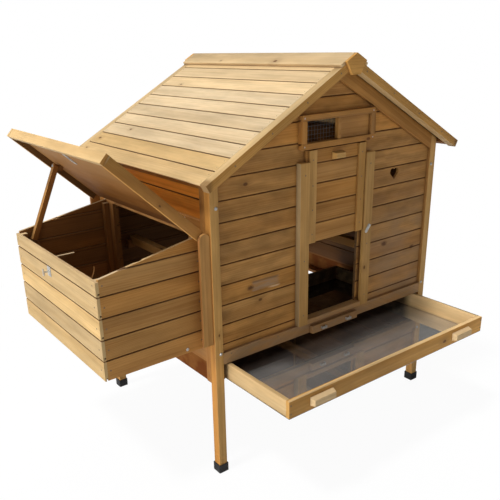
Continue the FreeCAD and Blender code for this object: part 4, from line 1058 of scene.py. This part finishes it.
class COOP_OT_leg_bolts(bpy.types.Operator):
    """Make the coach bolts and washers that hold the walls to the legs"""
    bl_idname = "coop.leg_bolts"
    bl_label = "Leg bolts"

    def execute(self, context):
        props = context.scene.coop_fasteners
        head = props.bolt
        washer = 0.0012
        dome = [(head * math.cos(a), head * 0.45 * math.sin(a) + washer)
                for a in (i * math.pi / 12 for i in range(6))]
        profile = [(head * 1.2, 0.0), (head * 1.2, 0.0009), (head * 1.12, washer), (head, washer)]
        profile += dome + [(0.0002, head * 0.45 + washer)]
        mesh = bmesh.new()
        for name, way in (("leg_front_left", -1), ("leg_front_right", -1), ("leg_back_left", 1),
                          ("leg_back_right", 1)):
            low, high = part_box(name)
            middle = (low.x + high.x) / 2
            x = middle + math.copysign(BOLT_INWARD, MIDDLE.x - middle)
            for height in BOLT_HEIGHTS:
                place = facing((x, outer_face(name, way), height), (0, way, 0))
                turned_solid(mesh, place, profile, props.sides)
        for name, way in NEST_ENDS:
            low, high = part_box(name)
            point = (high.x - NEST_BOLT[0], outer_face(name, way), low.z + NEST_BOLT[1])
            turned_solid(mesh, facing(point, (0, way, 0)), profile, props.sides)
        new_piece("leg_bolts", mesh, zinc_finish(), "house")
        return {"FINISHED"}


def face_spots(name, axis, way, across, up):
    """Screws on a node's outer face along an axis: each place across it with each height up it, counted
    from the near end, or from the far end where it is below nought."""
    low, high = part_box(name)
    depth = "XY".index(axis)
    side = 1 - depth
    normal = Vector((0, 0, 0))
    normal[depth] = way
    spots = []
    for u in across:
        for v in up:
            point = low.copy() if way < 0 else high.copy()
            point[side] = (low if u > 0 else high)[side] + u
            point.z = (low if v > 0 else high).z + v
            spots.append((point, normal))
    return spots


def height_shares(name, *shares):
    """Heights up a node, as shares of its own."""
    low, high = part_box(name)
    return [share * (high.z - low.z) for share in shares]


class COOP_OT_screws(bpy.types.Operator):
    """Make the screws of the hinges, latch, guides, door, vent, roof, nest and tray"""
    bl_idname = "coop.screws"
    bl_label = "Screws"

    def execute(self, context):
        props = context.scene.coop_fasteners
        screws("fitting_screws", "house", props.small_screw, self.fitting_spots(), zinc_finish())
        screws("lid_screws", "lid", props.small_screw, self.lid_spots(), zinc_finish())
        screws("house_screws", "house", props.screw, self.house_spots(), dull_finish())
        heights = height_shares("door_stiles", 0.1, 0.37, 0.63, 0.9)
        spots = face_spots("door_stiles", "Y", -1, (DOOR_STILE / 2, -DOOR_STILE / 2), heights)
        screws("door_screws", "door", props.small_screw, spots, dull_finish())
        spots = []
        for x in (TRAY_END / 2, -TRAY_END / 2):
            for height in height_shares("tray_frame", 0.25, 0.75):
                for way in (-1, 1):
                    spots += face_spots("tray_frame", "Y", way, (x,), (height,))
        screws("tray_screws", "tray", props.screw, spots, dull_finish())
        return {"FINISHED"}

    def hinge_rows(self):
        """Where the hinges' screws lie along the lid."""
        low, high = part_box("hinge_wall_leaves")
        return [start + step for start in (low.y, high.y - HINGE_LENGTH) for step in HINGE_STEPS]

    def fitting_spots(self):
        """Screws of the hinges' wall leaves, the latch plate and the vent."""
        leaf = outer_face("left_wall_frame", -1, "X") - HINGE_LEAF
        height = outer_face("hinge_wall_leaves", 1, "Z") - 0.01
        spots = [((leaf, y, height), (-1, 0, 0)) for y in self.hinge_rows()]
        spots += face_spots("latch_plate", "X", -1, (0.004, -0.004), (0.004, -0.004))
        spots += face_spots("vent_frame", "Y", -1, (VENT_STILE / 2, -VENT_STILE / 2),
                            (VENT_RAIL / 2, -VENT_RAIL / 2))
        return spots

    def lid_spots(self):
        """Screws of the hinges' lid leaves and of the hasp."""
        spots = [(lid_point(HINGE_SCREW, y, HINGE_LEAF), lid_way(0, 1)) for y in self.hinge_rows()]
        low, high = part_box("hasp_leaf")
        along, up = HASP_SCREW
        spots += [(lid_point(along, y, up), lid_way(0, -1)) for y in (low.y + 0.005, high.y - 0.005)]
        return spots

    def house_spots(self):
        """Screws into the fixed timber."""
        spots = []
        for name in ("door_guide_left", "door_guide_right"):
            spots += face_spots(name, "Y", -1, (DOOR_GUIDE / 2,), height_shares(name, 0.07, 0.42, 0.93))
        below_edge = 0.0125
        for name, way in (("bargeboards_front", -1), ("bargeboards_back", 1)):
            for side in (-1, 1):
                for run in BARGE_SCREWS:
                    x = RIDGE.x + side * (run * math.cos(ROOF_PITCH) - below_edge * math.sin(ROOF_PITCH))
                    z = RIDGE.z - run * math.sin(ROOF_PITCH) - below_edge * math.cos(ROOF_PITCH)
                    spots.append(((x, outer_face(name, way), z), (0, way, 0)))
        for name, way in (("front_wall_frame", -1), ("back_wall_frame", 1)):
            spots += face_spots(name, "Y", way, (0.03, 0.22, -0.22, -0.03), (0.03,))
        for name, way in (("left_wall_frame", -1), ("right_wall_frame", 1)):
            spots += face_spots(name, "X", way, (SIDE_STILE / 2, -SIDE_STILE / 2), (0.03, 0.2, 0.42, -0.02))
        heights = [0.03 + row * WALL_BOARD for row in range(NEST_ROWS)]
        spots += face_spots("nest_outer_boards", "X", -1, (0.02, -0.02), heights)
        for name, way in NEST_ENDS:
            for height in heights:
                spots += face_spots(name, "Y", way, (0.01, -0.01), (height,))
        return spots


class COOP_OT_nails(bpy.types.Operator):
    """Make the nails of the roof boards and the lid boards"""
    bl_idname = "coop.nails"
    bl_label = "Nails"

    def execute(self, context):
        radius = context.scene.coop_fasteners.nail
        profile = ((radius, -0.0003), (radius, 0.00015), (radius * 0.6, 0.0003))
        roof = bmesh.new()
        low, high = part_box("roof_battens")
        for side in (-1, 1):
            turn = Matrix.Rotation(side * ROOF_PITCH, 3, "Y")
            for row in range(ROOF_ROWS):
                for offset in ROOF_NAILS:
                    run = ROOF_SLOPE - row * ROOF_BOARD - offset
                    for y in (low.y + 0.01, high.y - 0.01):
                        point = RIDGE + turn @ Vector((side * run, 0.0, 0.0)) + Vector((0.0, y, 0.0))
                        turned_solid(roof, facing(point, turn @ Vector((0, 0, 1))), profile, NAIL_SIDES)
        lid = bmesh.new()
        low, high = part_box("lid_boards")
        for row in range(LID_ROWS):
            for offset in LID_NAILS:
                for y in (low.y + 0.008, high.y - 0.008):
                    point = lid_point(-LID_SPAN + row * LID_BOARD + offset, y, 0.0)
                    turned_solid(lid, facing(point, lid_way(0, 1)), profile, NAIL_SIDES)
        new_piece("roof_nails", roof, dull_finish(), "house")
        new_piece("lid_nails", lid, dull_finish(), "lid")
        return {"FINISHED"}


class COOP_OT_vent_wires(bpy.types.Operator):
    """Make the welded wire mesh of the vent"""
    bl_idname = "coop.vent_wires"
    bl_label = "Vent mesh"

    def execute(self, context):
        props = context.scene.coop_fasteners
        low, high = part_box("vent_mesh")
        inner = low.y + props.wire
        outer = high.y - props.wire
        middle = (low + high) / 2
        columns = int((high.x - low.x) / props.mesh)
        rows = int((high.z - low.z) / props.mesh)
        mesh = bmesh.new()
        for i in range(columns + 1):
            x = middle.x + (i - columns / 2) * props.mesh
            self.wire(mesh, Vector((x, inner, low.z)), Vector((x, inner, high.z)), props.wire)
        for i in range(rows + 1):
            z = middle.z + (i - rows / 2) * props.mesh
            self.wire(mesh, Vector((low.x, outer, z)), Vector((high.x, outer, z)), props.wire)
        material = steel_finish("vent wire", context.scene.coop_metal.wire, 200.0, 0.45, 0.3)
        piece = new_piece("vent_wires", mesh, material, "house")
        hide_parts("vent_mesh")
        return {"FINISHED"}

    def wire(self, mesh, start, end, radius):
        """A round wire between two points."""
        way = end - start
        turned_solid(mesh, facing(start, way), ((radius, 0.0), (radius, way.length)), WIRE_SIDES)


class COOP_OT_nest_ears(bpy.types.Operator):
    """Make the two uprights with rounded tops that stand beside the legs at the nest lid"""
    bl_idname = "coop.nest_ears"
    bl_label = "Nest uprights"

    def execute(self, context):
        props = context.scene.coop_timber
        radius = props.ear_width / 2
        crown = props.ear_top - radius
        clearance = 0.0002
        steps = 16
        turns = [math.pi * i / steps for i in range(steps + 1)]
        outline = [(radius * math.cos(turn), crown + radius * math.sin(turn)) for turn in turns]
        outline += [(-radius, props.ear_foot), (radius, props.ear_foot)]
        mesh = bmesh.new()
        for name, way in (("leg_front_left", -1), ("leg_back_left", 1)):
            face = outer_face(name, way) - way * props.ear_back
            middle = outer_face(name, -1, "X") - clearance - radius
            outer = [mesh.verts.new((middle + x, face, z)) for x, z in outline]
            inner = [mesh.verts.new((middle + x, face - way * props.ear_depth, z)) for x, z in outline]
            mesh.faces.new(outer)
            mesh.faces.new(list(reversed(inner)))
            for i in range(len(outline)):
                j = (i + 1) % len(outline)
                mesh.faces.new((outer[j], outer[i], inner[i], inner[j]))
        bmesh.ops.recalc_face_normals(mesh, faces=mesh.faces[:])
        sharp = [edge for edge in mesh.edges if edge.calc_face_angle() > SHARP_ANGLE]
        bmesh.ops.bevel(mesh, geom=sharp, offset=props.edge * STOUT_EDGE, segments=2, profile=0.5,
                        affect="EDGES")
        origin = (LEG_LOW.x - props.ear_width, LEG_LOW.y, 0.0)
        # Shade on the uprights' left faces: painted shade
        wood = timber("fir nest_ears", "Z", "X", origin, props.ear_width, seed=55, knots=0.1,
                      faces=(("X", -1, "shade"),))
        piece = new_piece("nest_ears", mesh, wood, "house")
        for face in piece.data.polygons:
            face.use_smooth = True
        piece.modifiers.new("even shade", "WEIGHTED_NORMAL")
        return {"FINISHED"}


# Stage

# Each lamp: its setting, the way it comes from, its width in degrees, whether bright surfaces show it
LAMPS = (
    ("key", (-0.44, 0.02, 0.898), 8, True), ("fill", (-0.94, 0.30, 0.12), 60, True),
    ("front", (-0.35, -0.85, 0.40), 60, True), ("back", (0.62, 0.55, 0.56), 40, False),
    ("ground", (-0.74, -0.08, -0.67), 30, False))
LAMP_DISTANCE = 4.0
CARD_PLACE = Vector((-2.4, -1.0, 0.25))
CARD_AIM = Vector((-0.4, -0.2, 0.8))
CARD_SIZE = 1.0
FLOOR_HALF = 40.0


class COOP_OT_stage(bpy.types.Operator):
    """Set the floor, the light and the camera"""
    bl_idname = "coop.stage"
    bl_label = "Stage"

    def execute(self, context):
        props = context.scene.coop_stage
        self.floor(context, props)
        self.sky(context, props)
        for setting, way, width, mirrored in LAMPS:
            data = bpy.data.lights.new(f"{setting} light", "SUN")
            data.energy = getattr(props, setting)
            data.angle = math.radians(width)
            lamp = self.put(context, data, facing(Vector(way) * LAMP_DISTANCE, way))
            lamp.visible_glossy = mirrored
        self.reflector(context, props)
        self.camera(context, props)
        context.scene.view_settings.view_transform = "Standard"
        return {"FINISHED"}

    def put(self, context, data, place):
        """A new object in the scene, named as its data."""
        thing = bpy.data.objects.new(data.name, data)
        thing.matrix_world = place
        context.scene.collection.objects.link(thing)
        return thing

    def seen(self, tree):
        """1 where the camera looks at the surface, also through something clear."""
        path = tree.nodes.new("ShaderNodeLightPath").outputs
        return calc("ADD", Value(path["Is Camera Ray"]), Value(path["Is Transmission Ray"]), clamp=True)

    def floor(self, context, props):
        """A wide pale floor that keeps a light shadow."""
        mesh = bmesh.new()
        bmesh.ops.create_grid(mesh, x_segments=4, y_segments=4, size=FLOOR_HALF)
        data = bpy.data.meshes.new("floor")
        mesh.to_mesh(data)
        mesh.free()
        floor = self.put(context, data, Matrix.Identity(4))
        floor.visible_shadow = False
        material, tree, shader = finish_of("pale floor")
        seen = self.seen(tree)
        feed(tint(seen, colour(props.bounce), colour(props.floor)), shader["Base Color"])
        feed(0.9, shader["Roughness"])
        feed(0.1, shader["Specular IOR Level"])
        glow = tree.nodes.new("ShaderNodeEmission")
        mixed = tree.nodes.new("ShaderNodeMixShader")
        clear = ease(arrow("LENGTH", object_place(tree)), 0.8, 2.0, 0.95, 1.0)
        feed(seen * clear, mixed.inputs[0])
        feed(Value(tree.nodes["Principled BSDF"].outputs[0]), mixed.inputs[1])
        feed(Value(glow.outputs[0]), mixed.inputs[2])
        feed(Value(mixed.outputs[0]), tree.nodes["Material Output"].inputs["Surface"])
        data.materials.append(material)

    def sky(self, context, props):
        """Even light all round, white where it is seen."""
        world = bpy.data.worlds.new("studio")
        context.scene.world = world
        world.use_nodes = True
        back = world.node_tree.nodes["Background"].inputs
        feed((1.0, 1.0, 1.0, 1.0), back["Color"])
        feed(self.seen(world.node_tree) * (1.0 - props.sky) + props.sky, back["Strength"])

    def reflector(self, context, props):
        """A lamp near the floor, out of the camera's sight."""
        data = bpy.data.lights.new("reflector", "AREA")
        data.energy = props.card
        data.shape = "DISK"
        data.size = CARD_SIZE
        card = self.put(context, data, facing(MIDDLE + CARD_PLACE, CARD_PLACE - CARD_AIM))
        card.visible_camera = False
        card.visible_glossy = False

    def camera(self, context, props):
        """The camera at the photograph's angle."""
        data = bpy.data.cameras.new("camera")
        data.sensor_width = 36.0
        data.lens = props.lens
        data.shift_x, data.shift_y = props.shift
        ahead = Vector((math.sin(props.yaw) * math.cos(props.pitch),
                        math.cos(props.yaw) * math.cos(props.pitch), -math.sin(props.pitch)))
        right = Vector((math.cos(props.yaw), -math.sin(props.yaw), 0.0))
        up = right.cross(ahead)
        x = right * math.cos(props.roll) + up * math.sin(props.roll)
        y = up * math.cos(props.roll) - right * math.sin(props.roll)
        turn = Matrix((x, y, -ahead)).transposed().to_4x4()
        context.scene.camera = self.put(context, data, Matrix.Translation(MIDDLE + Vector(props.eye)) @ turn)


# Panel and registration

OPERATORS = (
    COOP_OT_stage, COOP_OT_wall_boards, COOP_OT_frame_timber, COOP_OT_roof_timber, COOP_OT_nest_lid,
    COOP_OT_tray, COOP_OT_ironwork, COOP_OT_foot_caps, COOP_OT_vent_wires, COOP_OT_leg_bolts,
    COOP_OT_screws, COOP_OT_nails, COOP_OT_nest_ears)
GROUPS = (
    ("coop_timber", CoopTimber), ("coop_metal", CoopMetal), ("coop_fasteners", CoopFasteners),
    ("coop_stage", CoopStage))


class COOP_PT_finish(bpy.types.Panel):
    """Sizes, colours and steps of the coop's finish"""
    bl_idname = "COOP_PT_finish"
    bl_label = "Hen coop"
    bl_space_type = "VIEW_3D"
    bl_region_type = "UI"
    bl_category = "Coop"

    def draw(self, context):
        for name, group in GROUPS:
            box = self.layout.box()
            for prop in group.__annotations__:
                box.prop(getattr(context.scene, name), prop)
        for operator in OPERATORS:
            self.layout.operator(operator.bl_idname)


CLASSES = tuple(group for _, group in GROUPS) + OPERATORS + (COOP_PT_finish,)


def register():
    """Make the classes and their settings known."""
    for cls in CLASSES:
        bpy.utils.register_class(cls)
    for name, group in GROUPS:
        setattr(bpy.types.Scene, name, PointerProperty(type=group))


def unregister():
    """Take the classes and their settings away."""
    for name, _ in GROUPS:
        delattr(bpy.types.Scene, name)
    for cls in reversed(CLASSES):
        bpy.utils.unregister_class(cls)


def main():
    """Dress the coop."""
    register()
    for operator in OPERATORS:
        area, name = operator.bl_idname.split(".")
        getattr(getattr(bpy.ops, area), name)()


if __name__ == "__main__":
    main()
